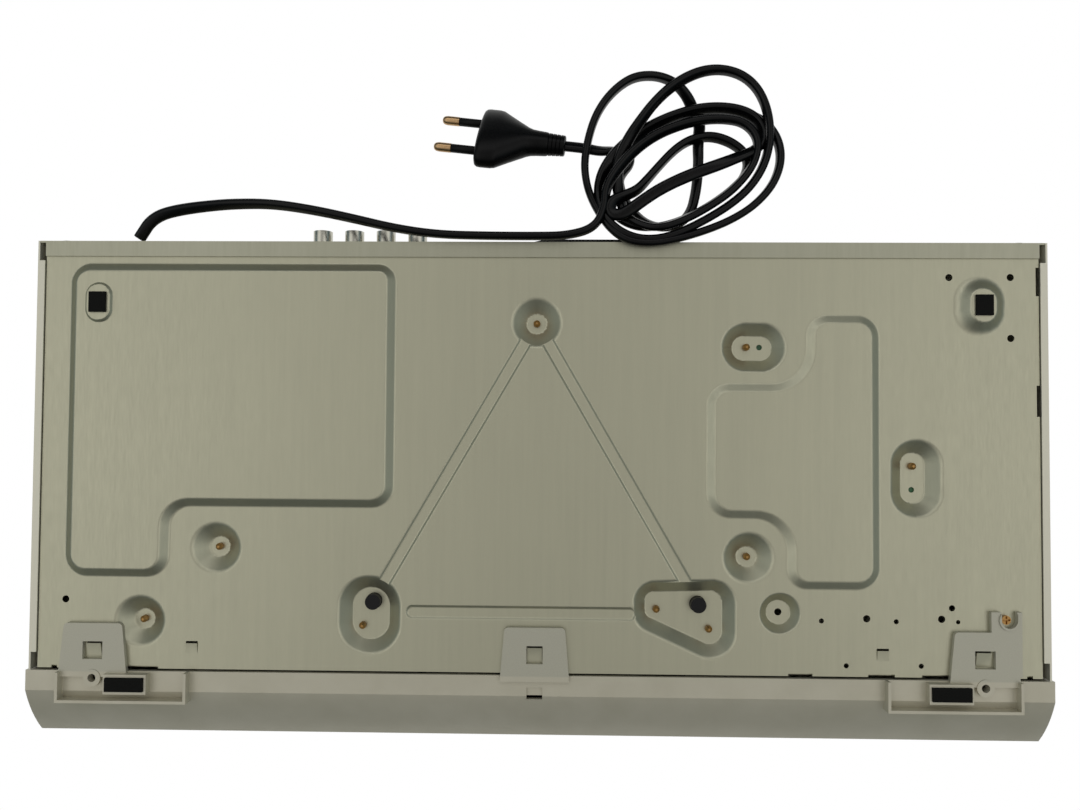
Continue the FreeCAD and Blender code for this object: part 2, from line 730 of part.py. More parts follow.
def drawn_in(corners, inset):
    """The same corners (anticlockwise) moved inwards; hollow corners grow rounder."""
    result = []
    for index, (x, y, radius) in enumerate(corners):
        here = Vector(x, y, 0)
        before = (Vector(corners[index - 1][0], corners[index - 1][1], 0) - here).normalize()
        ahead = corners[(index + 1) % len(corners)]
        after = (Vector(ahead[0], ahead[1], 0) - here).normalize()
        half = before.getAngle(after) / 2
        outward_corner = before.cross(after).z < 0
        side = 1 if outward_corner else -1
        moved = here + (before + after).normalize() * (side * inset / math.sin(half))
        result.append((moved.x, moved.y, radius - side * inset))
    return result


def cornered(corners):
    numbers = [tuple(float(value) for value in corner) for corner in corners]
    return lambda inset, level: rounded_wire(drawn_in(numbers, inset), level)


def disc(x, y, radius):
    def wire(inset, level):
        return Part.Wire(Part.makeCircle(float(radius) - inset, Vector(x, y, level)))
    return wire


def pill(x, y, width, length, corner):
    """A rectangle with round corners, from its middle and sizes along X and Y."""
    left, right = float(x - width / 2), float(x + width / 2)
    front, back = float(y - length / 2), float(y + length / 2)
    radius = float(corner)
    corners = ((left, front, radius), (right, front, radius), (right, back, radius), (left, back, radius))
    return cornered(corners)


def stroke(start, end, width):
    """A straight bead with round ends."""
    along = (end - start).normalize()
    across = Vector(-along.y, along.x, 0) * (float(width) / 2)
    radius = float(width) / 2 * 0.98
    ring = (start - across, end - across, end + across, start + across)
    return cornered([(point.x, point.y, radius) for point in ring])


def pressing(outline, run, depth, level, sense, outer_share, inner_share, overlap):
    """The space of one pressing: a wall that rolls out of the sheet and into the raised face."""
    slope = 1 / (1 - (outer_share + inner_share) / 2)
    steps = [outer_share * part / 3 for part in range(4)]
    steps += [1 - inner_share, 1 - inner_share / 2, 1]
    wires = [outline(0, level - sense * overlap)]
    for step in steps:
        if step <= outer_share:
            rise = slope * step * step / (2 * outer_share)
        elif step <= 1 - inner_share:
            rise = slope * (step - outer_share / 2)
        else:
            rise = 1 - slope * (1 - step) ** 2 / (2 * inner_share)
        wires.append(outline(run * step, level + sense * depth * rise))
    return Part.makeLoft(wires, True, True)


def block(low, high):
    size = [float(end) - float(start) for start, end in zip(low, high)]
    return Part.makeBox(size[0], size[1], size[2], Vector(*[float(value) for value in low]))


def rod(start, radius, length, direction=Vector(0, 0, 1)):
    base = Vector(*[float(value) for value in start])
    return Part.makeCylinder(float(radius), float(length), base, direction)


# The floor plate: a pressed steel tray.  Bosses go up to the boards, panels and feet go down.

board_screws = (
    (right(80.0), behind_wall(51.0)),
    (right(48.2), behind_wall(20.0)),
    (main_inner_x - 9.0, ahead_of_panel(43.85)),
    (left(56.3), behind_wall(87.3)),
    (main_inner_x - 9.1, behind_wall(48.7)),
)
board_pegs = (
    (main_inner_x - 14.7, ahead_of_panel(43.85)),
    (left(56.3), behind_wall(77.3)),
)
spare_boss = (main_inner_x - 22.2, behind_wall(25.7))
supply_panel = (
    (right(15.5), ahead_of_panel(9.05), 9.5),
    (59.3, ahead_of_panel(9.05), 8.0),
    (59.3, behind_wall(67.9), 10.0),
    (right(60.7), behind_wall(67.9), 8.2),
    (right(60.7), behind_wall(38.1), 10.0),
    (right(15.5), behind_wall(38.1), 10.0),
)
main_panel = (
    (main_inner_x + 9.0, ahead_of_panel(58.95), 10.0),
    (main_inner_x - 32.5, ahead_of_panel(58.95), 14.0),
    (main_inner_x - 32.5, ahead_of_panel(30.05), 9.5),
    (left(71.0), ahead_of_panel(30.05), 9.8),
    (left(71.0), behind_wall(35.4), 10.0),
    (main_inner_x - 24.5, behind_wall(35.4), 9.0),
    (main_inner_x - 24.5, behind_wall(64.6), 13.0),
    (main_inner_x + 9.0, behind_wall(64.6), 11.0),
)
left_loader_boss = (
    (-40.4, behind_wall(39.3), 10.0),
    (-84.8, behind_wall(40.6), 11.0),
    (-84.8, behind_wall(-0.4), 11.5),
    (-40.4, behind_wall(19.7), 10.0),
)
open_holes = (
    (left(42.1), ahead_of_panel(14.5), 1.0),
    (left(16.6), ahead_of_panel(14.4), 1.0),
    (left(16.6), ahead_of_panel(40.0), 1.0),
    (right(16.3), behind_wall(28.8), 1.0),
    (left(77.0), behind_wall(24.0), 1.0),
    (left(46.1), behind_wall(24.1), 1.0),
    (left(95.7), behind_wall(22.9), 0.7),
    (left(64.8), behind_wall(22.9), 0.7),
    (left(41.8), behind_wall(28.7), 0.85),
    (left(39.3), behind_wall(23.0), 0.6),
    (left(85.5), behind_wall(4.5), 0.7),
    (left(54.6), behind_wall(4.7), 0.7),
)
front_notches = (
    (right(12.0), 2.4),
    (right(49.0), 14.5),
    (left(104.5), 10.0),
    (left(71.0), 11.0),
    (left(48.0), 12.6),
    (left(10.0), 2.4),
)
side_slots = (
    (ahead_of_panel(22.25), ahead_of_panel(10.25)),
    (ahead_of_panel(72.75), ahead_of_panel(59.75)),
)
wide_lances = ((0, 7.7), (side_tab_x, 7.7), (-1 * side_tab_x, 7.7))
narrow_lances = ((right(70.4), 8.7), (left(70.4), 8.7))
UP, DOWN = 1, -1


def boss_list():
    """Outline, wall and depth of every boss pressed upwards."""
    run, depth = float(d.boss_run), float(d.boss_depth)
    small_run, small_depth = float(d.small_boss_run), float(d.small_boss_depth)
    round_ones = (board_screws[0], board_screws[1], board_screws[4], (0, loader_rear_y))
    bosses = [(disc(x, y, d.boss_radius), run, depth) for x, y in round_ones]
    bosses.append((pill(main_inner_x - 11.4, ahead_of_panel(44.25), 28.4, 22.2, 11.0), 6.3, depth))
    bosses.append((pill(left(56.0), behind_wall(82.3), 23.0, 34.2, 11.4), 6.9, depth))
    bosses.append((pill(69.7, behind_wall(23.4), 27.9, 34.2, 13.6), 6.6, depth))
    bosses.append((cornered(left_loader_boss), 6.4, depth))
    bosses.append((disc(spare_boss[0], spare_boss[1], d.small_boss_radius), small_run, small_depth))
    return bosses


def bead_list():
    top = Vector(0, loader_rear_y, 0)
    left = Vector(d.post_x, post_y, 0)
    right = Vector(-d.post_x, post_y, 0)
    low_left = Vector(d.post_x - 14, post_y - 3.7, 0)
    low_right = Vector(-d.post_x + 26, post_y - 3.7, 0)
    lines = ((top, left), (top, right), (low_left, low_right))
    return [stroke(start, end, d.bead_width) for start, end in lines]


def make_bottom_chassis():
    metal = float(d.sheet_metal)
    low, top = float(plate_low), float(plate_top)
    panel_face = low - float(d.panel_depth)
    foot_depth = panel_face - float(foot_low)
    plate = block((-half_chassis, chassis_front_y, low), (half_chassis, panel_inner_y, top))
    foot = pill(rear_foot_x, rear_foot_y, d.foot_width, d.foot_length, d.foot_width / 2 * 0.98)
    dome = pill(-rear_foot_x, rear_foot_y, d.dome_width, d.dome_length, d.dome_width / 2 * 0.98)
    bumps, pits = [], []
    for outline, run, depth in boss_list():
        bumps.append(pressing(outline, run, depth, top, UP, 0.26, 0.12, metal / 2))
        pits.append(pressing(outline, run, depth, low, UP, 0.26, 0.12, 1))
    for outline in bead_list():
        depth = float(d.bead_depth)
        bumps.append(pressing(outline, float(d.bead_run), depth, top, UP, 0.45, 0.45, metal / 2))
        pits.append(pressing(outline, float(d.bead_run), depth, low, UP, 0.45, 0.45, 1))
    downward = (
        (cornered(supply_panel), float(d.panel_run), float(d.panel_depth), 0, 0.24, 0.24),
        (cornered(main_panel), float(d.shallow_run), float(d.shallow_depth), 0, 0.24, 0.24),
        (dome, float(d.dome_run), low - float(foot_low), 0, 0.5, 0.15),
        (foot, 1.3, foot_depth, float(d.panel_depth), 0.3, 0.3),
    )
    for outline, run, depth, lowered, outer_share, inner_share in downward:
        shares = (outer_share, inner_share)
        bumps.append(pressing(outline, run, depth, low - lowered, DOWN, *shares, metal / 2))
        pits.append(pressing(outline, run, depth, top - lowered, DOWN, *shares, 1))
    wall_top = top + float(d.side_wall_rise)
    rear = float(panel_inner_y)
    for side in (-1, 1):
        outer, inner = side * half_chassis, side * (half_chassis - d.sheet_metal)
        edges = sorted((float(outer), float(inner)))
        bumps.append(block((edges[0], chassis_front_y, low), (edges[1], rear, wall_top)))
        tab = sorted((float(outer), side * (float(half_chassis) - 11)))
        bumps.append(block((tab[0], rear - metal, low), (tab[1], rear, top + float(d.corner_tab_rise))))
    front = float(chassis_front_y)
    bumps.append(block((-half_chassis, front, low), (half_chassis, front + metal, top + d.front_wall_rise)))
    holes = [rod((x, y, -1), float(d.small_hole) * share, 30) for x, y, share in open_holes]
    holes += [rod((x, y, 1), d.shank_radius + 0.05, 30) for x, y in board_screws]
    holes += [rod((x, y, 1), 1.2, 30) for x, y in board_pegs]
    holes.append(rod((spare_boss[0], spare_boss[1], 1), 1.5, 30))
    holes += [rod((x, y, 1), d.shank_radius + 0.05, 30) for x, y in loader_screws()]
    holes += [rod((side * d.post_x, post_y, 1), d.post_radius + 0.2, 30) for side in (-1, 1)]
    holes.append(rod((-1 * ear_screw_x, ear_screw_y, 1), d.shank_radius + 0.05, 30))
    for side in (-1, 1):
        panel_hole = (side * panel_screw_x, rear - 5, d.panel_screw_height)
        holes.append(rod(panel_hole, d.shank_radius + 0.05, 10, Vector(0, 1, 0)))
    for y, z in cover_side_screws():
        for start_x in (-1 * half_chassis - 1, half_chassis - 2):
            holes.append(rod((start_x, y, z), d.shank_radius + 0.05, 3, Vector(1, 0, 0)))
    for x, width in front_notches:
        holes.append(block((x - width / 2, front - 1, low - 1), (x + width / 2, front + 1.1, top + 2)))
    for start, end in side_slots:
        edge = -float(half_chassis)
        holes.append(block((edge - 1, start, low - 1), (edge + 1.3, end, top + 3)))
    tongues = []
    for x, back in wide_lances:
        add_lance(holes, tongues, x, back, d.lance_width / 2, d.lance_length, d.lance_drop)
    for x, back in narrow_lances:
        add_lance(holes, tongues, x, back, d.lance_width * 0.39, d.lance_length * 0.73, d.lance_drop / 2)
    shape = plate.fuse(bumps).cut(pits).cut(holes).fuse(tongues).removeSplitter()
    solid_feature(shape, "bottom_chassis")


def add_lance(holes, tongues, x, back, half_width, length, drop):
    """A tongue cut free on three sides and bent down towards its rear end."""
    middle_x, middle_y = float(x), float(behind_wall(back))
    half, reach = float(half_width), float(length) / 2
    low, metal = float(plate_low), float(d.sheet_metal)
    start, end = middle_y - reach, middle_y + reach
    holes.append(block((middle_x - half, start + 0.4, low - 1),
                       (middle_x + half, end + 0.8, low + metal + 1)))
    edge = middle_x - half + 0.1
    outline = [
        Vector(edge, start, low),
        Vector(edge, end, low - float(drop)),
        Vector(edge, end, low - float(drop) + metal),
        Vector(edge, start, low + metal),
    ]
    face = Part.Face(Part.makePolygon(outline + outline[:1]))
    tongues.append(face.extrude(Vector(2 * half - 0.2, 0, 0)))


def loader_screws():
    """The four screws that hold the loader, seen from below."""
    return (
        (0, loader_rear_y),
        (d.loader_screw_x, loader_screw_y),
        (-1 * d.loader_screw_x, loader_screw_y),
        (d.second_screw_x, second_screw_y),
    )


# The rear panel with its sockets' openings

jack_offsets = [number - (d.jack_count - 1) / 2 for number in range(int(float(d.jack_count)))]
jack_places = [d.jack_middle_x + d.jack_pitch * offset for offset in jack_offsets]
scart_screws = [d.scart_x + (d.scart_width / 2 + 4) * side for side in (-1, 1)]
panel_top = cover_under - d.shell_gap
panel_half = half_cover - d.sheet_metal - d.shell_gap
rear_vent = (left(25), 14)


def panel_screw_places():
    ends = [(side * panel_screw_x, d.panel_screw_height) for side in (-1, 1)]
    wide = [(x, d.scart_level) for x in scart_screws]
    return ends + wide + [(d.jack_middle_x + d.jack_pitch * 2.2, d.jack_height)]


def cover_rear_screws():
    return [(x, cover_top - d.rear_flap / 2) for x in (left(25), 0, right(25))]


def make_rear_panel():
    panel = body("rear_panel")
    pad(panel, "XZ", panel_inner_y, rear_y, rectangle(-1 * panel_half, lip_low, panel_half, panel_top))
    pad(panel, "XY", lip_low, plate_low,
        rectangle(-1 * half_chassis, rear_y - d.panel_flange, half_chassis, rear_y))
    pad(panel, "XY", panel_top - d.sheet_metal, panel_top,
        rectangle(-1 * panel_half, rear_y - d.panel_top_flange, panel_half, rear_y))
    jack_holes = [circle(x, d.jack_height, d.jack_radius + 0.1) for x in jack_places]
    screw_holes = [circle(x, z, d.shank_radius + 0.05) for x, z in panel_screw_places() + cover_rear_screws()]
    cord_gap = circle(cord_x, d.cord_height, d.cord_hole)
    wide = scart_outline(0.15)
    pocket(panel, "XZ", panel_inner_y - 1, rear_y + 1, *jack_holes, *screw_holes, cord_gap, wide)
    slots = pocket(panel, "XZ", panel_inner_y - 1, rear_y + 1,
                   rectangle(rear_vent[0], rear_vent[1], rear_vent[0] + d.vent_width, rear_vent[1] + 10),
                   rectangle(rear_vent[0], rear_vent[1] + 13, rear_vent[0] + d.vent_width, rear_vent[1] + 20))
    row_of(panel, slots, "X", d.vent_pitch, d.vent_count)


def scart_outline(spare):
    """The wide socket has one slanted corner, so it goes in only one way."""
    left, right = d.scart_x - d.scart_width / 2 - spare, d.scart_x + d.scart_width / 2 + spare
    low, high = d.scart_level - d.scart_height / 2 - spare, d.scart_level + d.scart_height / 2 + spare
    return polygon((left, low), (right - 5, low), (right, low + 5), (right, high), (left, high))


# The cover: roof, sides folded in under the case, and a rear flap

def make_top_cover():
    cover = body("top_cover")
    front = bezel_rear_y + d.shell_gap
    inner = half_cover - d.sheet_metal
    pad(cover, "XZ", front, rear_y, polygon(
        (-1 * half_cover, lip_low), (-1 * inner, lip_low), (-1 * inner, cover_under), (inner, cover_under),
        (inner, lip_low), (half_cover, lip_low), (half_cover, cover_top), (-1 * half_cover, cover_top)))
    for side in (-1, 1):
        pad(cover, "XY", lip_low, plate_low - 0.05, rectangle(
            side * (half_cover - d.cover_lip), bezel_rear_y + d.lip_front,
            side * half_cover, rear_y - d.lip_rear))
    pad(cover, "XZ", rear_y, rear_y + d.sheet_metal,
        rectangle(-1 * half_cover, cover_top - d.rear_flap, half_cover, cover_top))
    screw_holes = [circle(x, z, d.shank_radius + 0.05) for x, z in cover_rear_screws()]
    pocket(cover, "XZ", rear_y - 0.5, rear_y + d.sheet_metal + 1, *screw_holes)
    pocket(cover, "YZ", -1 * half_cover - 1, half_cover + 1,
           *[circle(y, z, d.shank_radius + 0.05) for y, z in cover_side_screws()])
    start_x = right(d.vent_middle_in) - d.vent_pitch * (d.vent_count - 1) / 2 - d.vent_width / 2
    ends = [rear_y - d.vent_rear - (d.vent_length + 8) * row for row in (0, 1, 2)]
    slots = pocket(cover, "XY", cover_under - 1, cover_top + 1, *[
        rounded(start_x, end - d.vent_length, start_x + d.vent_width, end, d.vent_width * 0.49)
        for end in ends])
    row_of(cover, slots, "X", d.vent_pitch, d.vent_count)


def cover_side_screws():
    level = plate_top + d.side_wall_rise * 0.55
    return [(y, level) for y in (behind_wall(27.9), ahead_of_panel(35.25))]


# The front moulding with its chin, tabs and foot rims

def bezel_section(inset, open_back):
    """Side view of the moulding, drawn in by the wall for its hollow."""
    front = fascia_y + inset
    rear = bezel_rear_y + open_back
    return polygon(
        (rear, d.strip_rise + inset),
        (rear, d.body_height - inset),
        (front, d.body_height - inset),
        (front, d.lip_rise + 1.6 + inset * 0.2),
        (lip_y + inset * 1.1, d.lip_rise + inset * 0.2),
        (lip_y + d.bezel_depth - d.strip_depth + inset * 0.3, d.strip_rise + inset),
        bulges={4: d.chin_bulge - inset})


def make_front_bezel():
    bezel = body("front_bezel")
    wall = d.bezel_wall
    pad(bezel, "YZ", -1 * half_body, half_body, bezel_section(0, 0))
    soften(bezel, d.bezel_edge, lambda edge: long_edge_at(edge, float(fascia_y), float(d.body_height)))
    pocket(bezel, "YZ", -1 * half_body + wall, half_body - wall, bezel_section(wall, 1))
    half_opening = d.opening_width / 2
    pocket(bezel, "XZ", fascia_y - 3, fascia_back_y + 1, rectangle(
        -1 * half_opening, d.opening_low, half_opening, d.opening_low + d.opening_height))
    pocket(bezel, "XZ", fascia_y - 3, fascia_back_y + 1, rectangle(
        -1 * window_outer_x, d.window_low, -1 * d.window_inner_x, d.window_high))
    holes = [rectangle(x - width / 2 - d.button_gap, d.button_level - d.button_tall / 2 - d.button_gap,
                       x + width / 2 + d.button_gap, d.button_level + d.button_tall / 2 + d.button_gap)
             for name, x, width in square_buttons()]
    holes.append(circle(power_x, d.button_level, d.power_radius + d.button_gap))
    pocket(bezel, "XZ", fascia_y - 3, fascia_back_y + 1, *holes)
    back = bezel_rear_y
    tab_top = d.tab_rise + d.tab_thick
    root_y = back - 2.2
    for side in (-1, 1):
        middle = side * side_tab_x
        pad(bezel, "XY", d.tab_rise, tab_top, polygon(
            (middle - d.side_tab_root / 2, root_y), (middle + d.side_tab_root / 2, root_y),
            (middle + d.side_tab_end / 2, back + d.tab_length),
            (middle - d.side_tab_end / 2, back + d.tab_length)))
    pad(bezel, "XY", d.tab_rise, tab_top, polygon(
        (d.middle_tab_root * -0.5, root_y), (d.middle_tab_root / 2, root_y),
        (d.middle_tab_end / 2, back + d.tab_length), (d.middle_tab_end * -0.5, back + d.tab_length)))
    soften(bezel, d.tab_corner, lambda edge: short_edge_at(edge, float(back + d.tab_length)))
    ear_y = back + d.tab_length + d.ear_length
    pad(bezel, "XY", d.tab_rise, tab_top, rectangle(
        -1 * ear_outer_x, back + 2, -1 * ear_inner_x, ear_y))
    slot_x = -1 * ear_slot_x
    collar = d.ear_slot + d.ear_collar
    pad(bezel, "XY", d.tab_rise - 0.6, d.tab_rise + 0.6, circle(slot_x, ear_screw_y, collar))
    pocket(bezel, "XY", d.tab_rise - 1, tab_top + 1, rectangle(
        slot_x - collar - 0.5, ear_y, slot_x + collar + 0.5, ear_y + 2))
    pocket(bezel, "XY", d.tab_rise - 1, tab_top + 1, circle(slot_x, ear_screw_y, d.ear_slot))
    pocket(bezel, "XY", d.tab_rise - 1, tab_top + 1, rectangle(
        slot_x - d.ear_slot, ear_screw_y, slot_x + d.ear_slot, ear_y + 1))
    catch_y = back + d.catch_back
    windows = [rectangle(side * side_tab_x - d.catch_width / 2, catch_y,
                         side * side_tab_x + d.catch_width / 2, catch_y + d.catch_length) for side in (-1, 1)]
    windows.append(rectangle(d.middle_catch * -0.5, catch_y, d.middle_catch / 2, catch_y + d.catch_length))
    pocket(bezel, "XY", d.tab_rise - 1, tab_top + 1, *windows)
    rim_front = back - d.rim_depth
    for side in (-1, 1):
        inner, outer = side * rim_inner_x, side * rim_outer_x
        wall_in, wall_out = side * (rim_inner_x + d.rim_wall), side * (rim_outer_x - d.rim_wall)
        pad(bezel, "XY", d.rim_rise, d.strip_rise + d.bezel_wall * 0.8, polygon(
            (inner, back), (inner, rim_front), (outer, rim_front), (outer, back), (wall_out, back),
            (wall_out, rim_front + d.rim_wall), (wall_in, rim_front + d.rim_wall), (wall_in, back)))
        middle = side * block_x
        near = back - 0.6 - d.block_length
        pad(bezel, "XY", d.rim_rise, d.strip_rise + 0.5, rectangle(
            middle - d.block_width / 2, near, middle + d.block_width / 2, near + d.block_length))
        pad_half = d.front_pad_width / 2 + 0.1
        middle_y = near + d.block_length / 2
        pocket(bezel, "XY", d.rim_rise - 1, d.rim_rise + d.front_pad_sunk, rectangle(
            middle - pad_half, middle_y - d.front_pad_length / 2 - 0.1,
            middle + pad_half, middle_y + d.front_pad_length / 2 + 0.1))
        eye_y = root_y - 0.4
        pad(bezel, "XY", d.tab_rise - 0.3, d.strip_rise + 0.5, circle(side * side_tab_x, eye_y, d.screw_eye))
        pocket(bezel, "XY", d.tab_rise - 1, d.strip_rise + wall + 3,
               circle(side * side_tab_x, eye_y, d.screw_eye_hole))
    notch_front = back - 9.9
    pocket(bezel, "XY", d.strip_rise - 2, d.strip_rise + 0.9, rectangle(-3.3, notch_front, 3.3, back - 4.9))
    pocket(bezel, "XY", d.strip_rise - 2, d.strip_rise + wall + 1, rectangle(
        -3.3, notch_front, 3.3, notch_front + 1.6))
    posts = [circle(x, z, 2.4) for x, z in board_posts()]
    pad(bezel, "XZ", fascia_back_y - 0.5, board_front_y, *posts)


def short_edge_at(edge, y):
    """Whether an edge stands upright on a tab's rear end."""
    ends = [vertex.Point for vertex in edge.Vertexes]
    upright = len(ends) == 2 and abs(ends[0].x - ends[1].x) < 0.01 and abs(ends[0].z - ends[1].z) > 0.5
    return upright and all(abs(point.y - y) < 0.01 for point in ends)


def long_edge_at(edge, y, z):
    centre = edge.CenterOfMass
    return edge.Length > 100 and abs(centre.y - y) < 0.01 and abs(centre.z - z) < 0.01


board_front_y = fascia_y + d.board_back


def board_posts():
    """Posts of the moulding that carry the display board and the button board."""
    return ((left(39), 40), (-78, 21), (80, 21), (right(27), 39.2), (right(65), 21))


def make_display_window():
    window = body("display_window")
    low_x, high_x = -1 * window_outer_x, -1 * d.window_inner_x
    gap, ledge = 0.15, d.window_ledge
    pad(window, "XZ", fascia_y + d.window_set, fascia_back_y + 0.05, rectangle(
        low_x + gap, d.window_low + gap, high_x - gap, d.window_high - gap))
    pad(window, "XZ", fascia_back_y + 0.05, fascia_back_y + 1.3, rectangle(
        low_x - ledge, d.window_low - ledge, high_x + ledge, d.window_high + ledge))


def square_buttons():
    """Name, place and width of the five square buttons."""
    row = [("open_button", d.open_x, d.open_width)]
    for number, name in enumerate(("play_button", "stop_button", "previous_button", "next_button")):
        row.append((name, d.play_x + button_pitch * number, play_width))
    return row


stem_end_y = fascia_y + d.board_back - 4.4


def make_buttons():
    front = fascia_y - d.button_stand
    back = fascia_back_y + 0.3
    for name, x, width in square_buttons():
        button = body(name)
        low, high = d.button_level - d.button_tall / 2, d.button_level + d.button_tall / 2
        rim = d.button_flange
        pad(button, "XZ", front, back, rounded(x - width / 2, low, x + width / 2, high, 0.6))
        pad(button, "XZ", back, back + 1.2, rectangle(
            x - width / 2 - rim, low - rim, x + width / 2 + rim, high + rim))
        pad(button, "XZ", back + 1.2, stem_end_y, rectangle(
            x - 2, d.button_level - 2, x + 2, d.button_level + 2))
    power = body("power_button")
    pad(power, "XZ", front, back, circle(power_x, d.button_level, d.power_radius))
    pad(power, "XZ", back, back + 1.2, circle(power_x, d.button_level, d.power_radius + d.button_flange))
    pad(power, "XZ", back + 1.2, stem_end_y, circle(power_x, d.button_level, 2))


def button_places():
    return [x for name, x, width in square_buttons()] + [power_x]


def make_control_boards():
    """Button board on the right and display board on the left, both upright behind the face."""
    back = board_front_y + d.board_thick
    low, high = 19, d.body_height - d.bezel_wall - 0.6
    button_board = box((78, board_front_y, low), (half_body - d.bezel_wall - 1, back, high))
    display_board = box((left(35), board_front_y, low), (-76, back, high))
    keep(group([display_board, button_board]), "control_boards")
    switches = []
    for x in button_places():
        shell = box((x - 3, board_front_y - 2.6, d.button_level - 3),
                    (x + 3, board_front_y, d.button_level + 3))
        key = round_bar((x, board_front_y - 3.4, d.button_level), 1.6, 0.8, "y")
        switches.append(fuse([shell, key]))
    keep(group(switches), "tact_switches")
    front = fascia_back_y + 2
    module = box((left(63), front, 24.5), (-92, board_front_y, 36.5))
    keep(module, "display_module")
    eye = fuse([box((left(47), board_front_y - 4, 26), (left(54), board_front_y, 34)),
                round_bar((left(50.5), board_front_y - 5.6, 30.5), 2.4, 1.7, "y")])
    keep(eye, "infrared_receiver")
    keep(box((-77, back, 20.4), (79, back + 0.4, 23.4)), "control_ribbon")


# Feet

def make_feet():
    low = 0 * d.pad_thickness
    half_x, half_y = d.rear_pad_width / 2, d.rear_pad_length / 2
    rear = [box((side * rear_foot_x - half_x, rear_foot_y - half_y, low),
                (side * rear_foot_x + half_x, rear_foot_y + half_y, d.pad_thickness)) for side in (-1, 1)]
    keep(group(rear), "rear_foot_pads")
    middle_y = bezel_rear_y - 0.6 - d.block_length / 2
    front = [box((side * block_x - d.front_pad_width / 2, middle_y - d.front_pad_length / 2, low),
                 (side * block_x + d.front_pad_width / 2, middle_y + d.front_pad_length / 2,
                  d.rim_rise + d.front_pad_sunk)) for side in (-1, 1)]
    keep(group(front), "front_foot_pads")


# Screws: a round head, a shank and a cross recess

def screw(x, y, z, length, axis, sense, head_radius=d.head_radius, head_height=d.head_height):
    """A screw whose head rests at the given point; its shank runs the other way."""
    place_of = {
        "x": lambda s: (x + s, y, z),
        "y": lambda s: (x, y + s, z),
        "z": lambda s: (x, y, z + s),
    }[axis]
    if sense > 0:
        head = round_bar(place_of(0), head_radius, head_height, axis)
        shank = round_bar(place_of(length * -1), d.shank_radius, length, axis)
        tip = cone(place_of(length * -1 - 1), 0.5, d.shank_radius, 1, axis)
        cross_at = head_height - 0.8
    else:
        head = round_bar(place_of(head_height * -1), head_radius, head_height, axis)
        shank = round_bar(place_of(0), d.shank_radius, length, axis)
        tip = cone(place_of(length), d.shank_radius, 0.5, 1, axis)
        cross_at = head_height * -1
    arms = []
    for wide, narrow in ((1.6, 0.35), (0.35, 1.6)):
        spans = {"x": (0, wide, narrow), "y": (wide, 0, narrow), "z": (wide, narrow, 0)}[axis]
        start = [value for value in place_of(cross_at)]
        low = [value - span for value, span in zip(start, spans)]
        high = [value + span for value, span in zip(start, spans)]
        along = "xyz".index(axis)
        high[along] = start[along] + 0.8
        arms.append(box(low, high))
    return cut(fuse([head, shank, tip]), arms)


def make_screws():
    board_top = seat + d.board_thick
    tip = board_top - plate_low - d.boss_depth + d.tip_reach
    keep(group([screw(x, y, board_top, tip, "z", 1) for x, y in board_screws]), "board_screws")
    floor_top = seat + d.loader_floor
    tip = floor_top - plate_low - d.boss_depth + d.tip_reach
    keep(group([screw(x, y, floor_top, tip, "z", 1) for x, y in loader_screws()]), "loader_screws")
    places = panel_screw_places()
    keep(group([screw(x, rear_y, z, 5, "y", 1) for x, z in places]), "rear_panel_screws")
    rear = [screw(x, rear_y + d.sheet_metal, z, 5, "y", 1) for x, z in cover_rear_screws()]
    sides = []
    for y, z in cover_side_screws():
        sides.append(screw(half_cover, y, z, 4.6, "x", 1))
        sides.append(screw(-1 * half_cover, y, z, 4.6, "x", -1))
    front = screw(-1 * ear_screw_x, ear_screw_y, plate_low, 4, "z", -1, d.ear_head, 1.4)
    keep(group(rear + sides + [front]), "case_screws")


# Sockets on the rear panel

def make_sockets():
    sleeves, mouldings = [], []
    for x in jack_places:
        neck = round_bar((x, panel_inner_y - 1, d.jack_height), d.jack_neck, d.sheet_metal + 2, "y")
        barrel = round_bar((x, rear_y + 0.2, d.jack_height), d.jack_radius, d.jack_reach - 0.2, "y")
        bore = round_bar((x, panel_inner_y - 2, d.jack_height), d.jack_bore, d.jack_reach + 6, "y")
        sleeves.append(cut(fuse([neck, barrel]), [bore]))
        half = d.jack_body_side / 2
        base = box((x - half, panel_inner_y - d.jack_body_depth, d.jack_height - half),
                   (x + half, panel_inner_y - 1, d.jack_height + half))
        core = round_bar((x, panel_inner_y - 1, d.jack_height), d.jack_bore, d.jack_reach + 1, "y")
        hole = round_bar((x, panel_inner_y - 6, d.jack_height), d.jack_pin_hole, d.jack_reach + 12, "y")
        mouldings.append(cut(fuse([base, core]), [hole]))
    keep(group(sleeves), "jack_sleeves")
    keep(group(mouldings), "jack_mouldings")
    socket = body("scart_socket")
    pad(socket, "XZ", panel_inner_y - d.scart_depth, rear_y + d.scart_reach, scart_outline(0))
    pocket(socket, "XZ", rear_y + d.scart_reach - d.scart_cavity, rear_y + d.scart_reach + 1,
           scart_outline(-1 * d.scart_wall))
    tongue = [rectangle(d.scart_x - 19, d.scart_level - 1.8, d.scart_x + 19, d.scart_level + 1.8)]
    pad(socket, "XZ", rear_y + d.scart_reach - d.scart_cavity - 0.5, rear_y + d.scart_reach - 1.5, *tongue)
    board_low = d.jack_height - d.jack_body_side / 2 - d.board_thick
    low_x, high_x = d.scart_x - d.scart_width / 2 - 4, d.jack_middle_x + d.jack_pitch * 2.5
    socket_low = d.scart_level - d.scart_height / 2
    rear = panel_inner_y - 1
    board = box((low_x, rear - d.jack_board_depth, board_low), (high_x, rear, board_low + d.board_thick))
    foot = box((d.scart_x - 18, rear - 16, board_low + d.board_thick), (d.scart_x + 18, rear - 6, socket_low))
    keep(group([board, foot]), "jack_board")


# The loader: frame, tray, bridge and puck

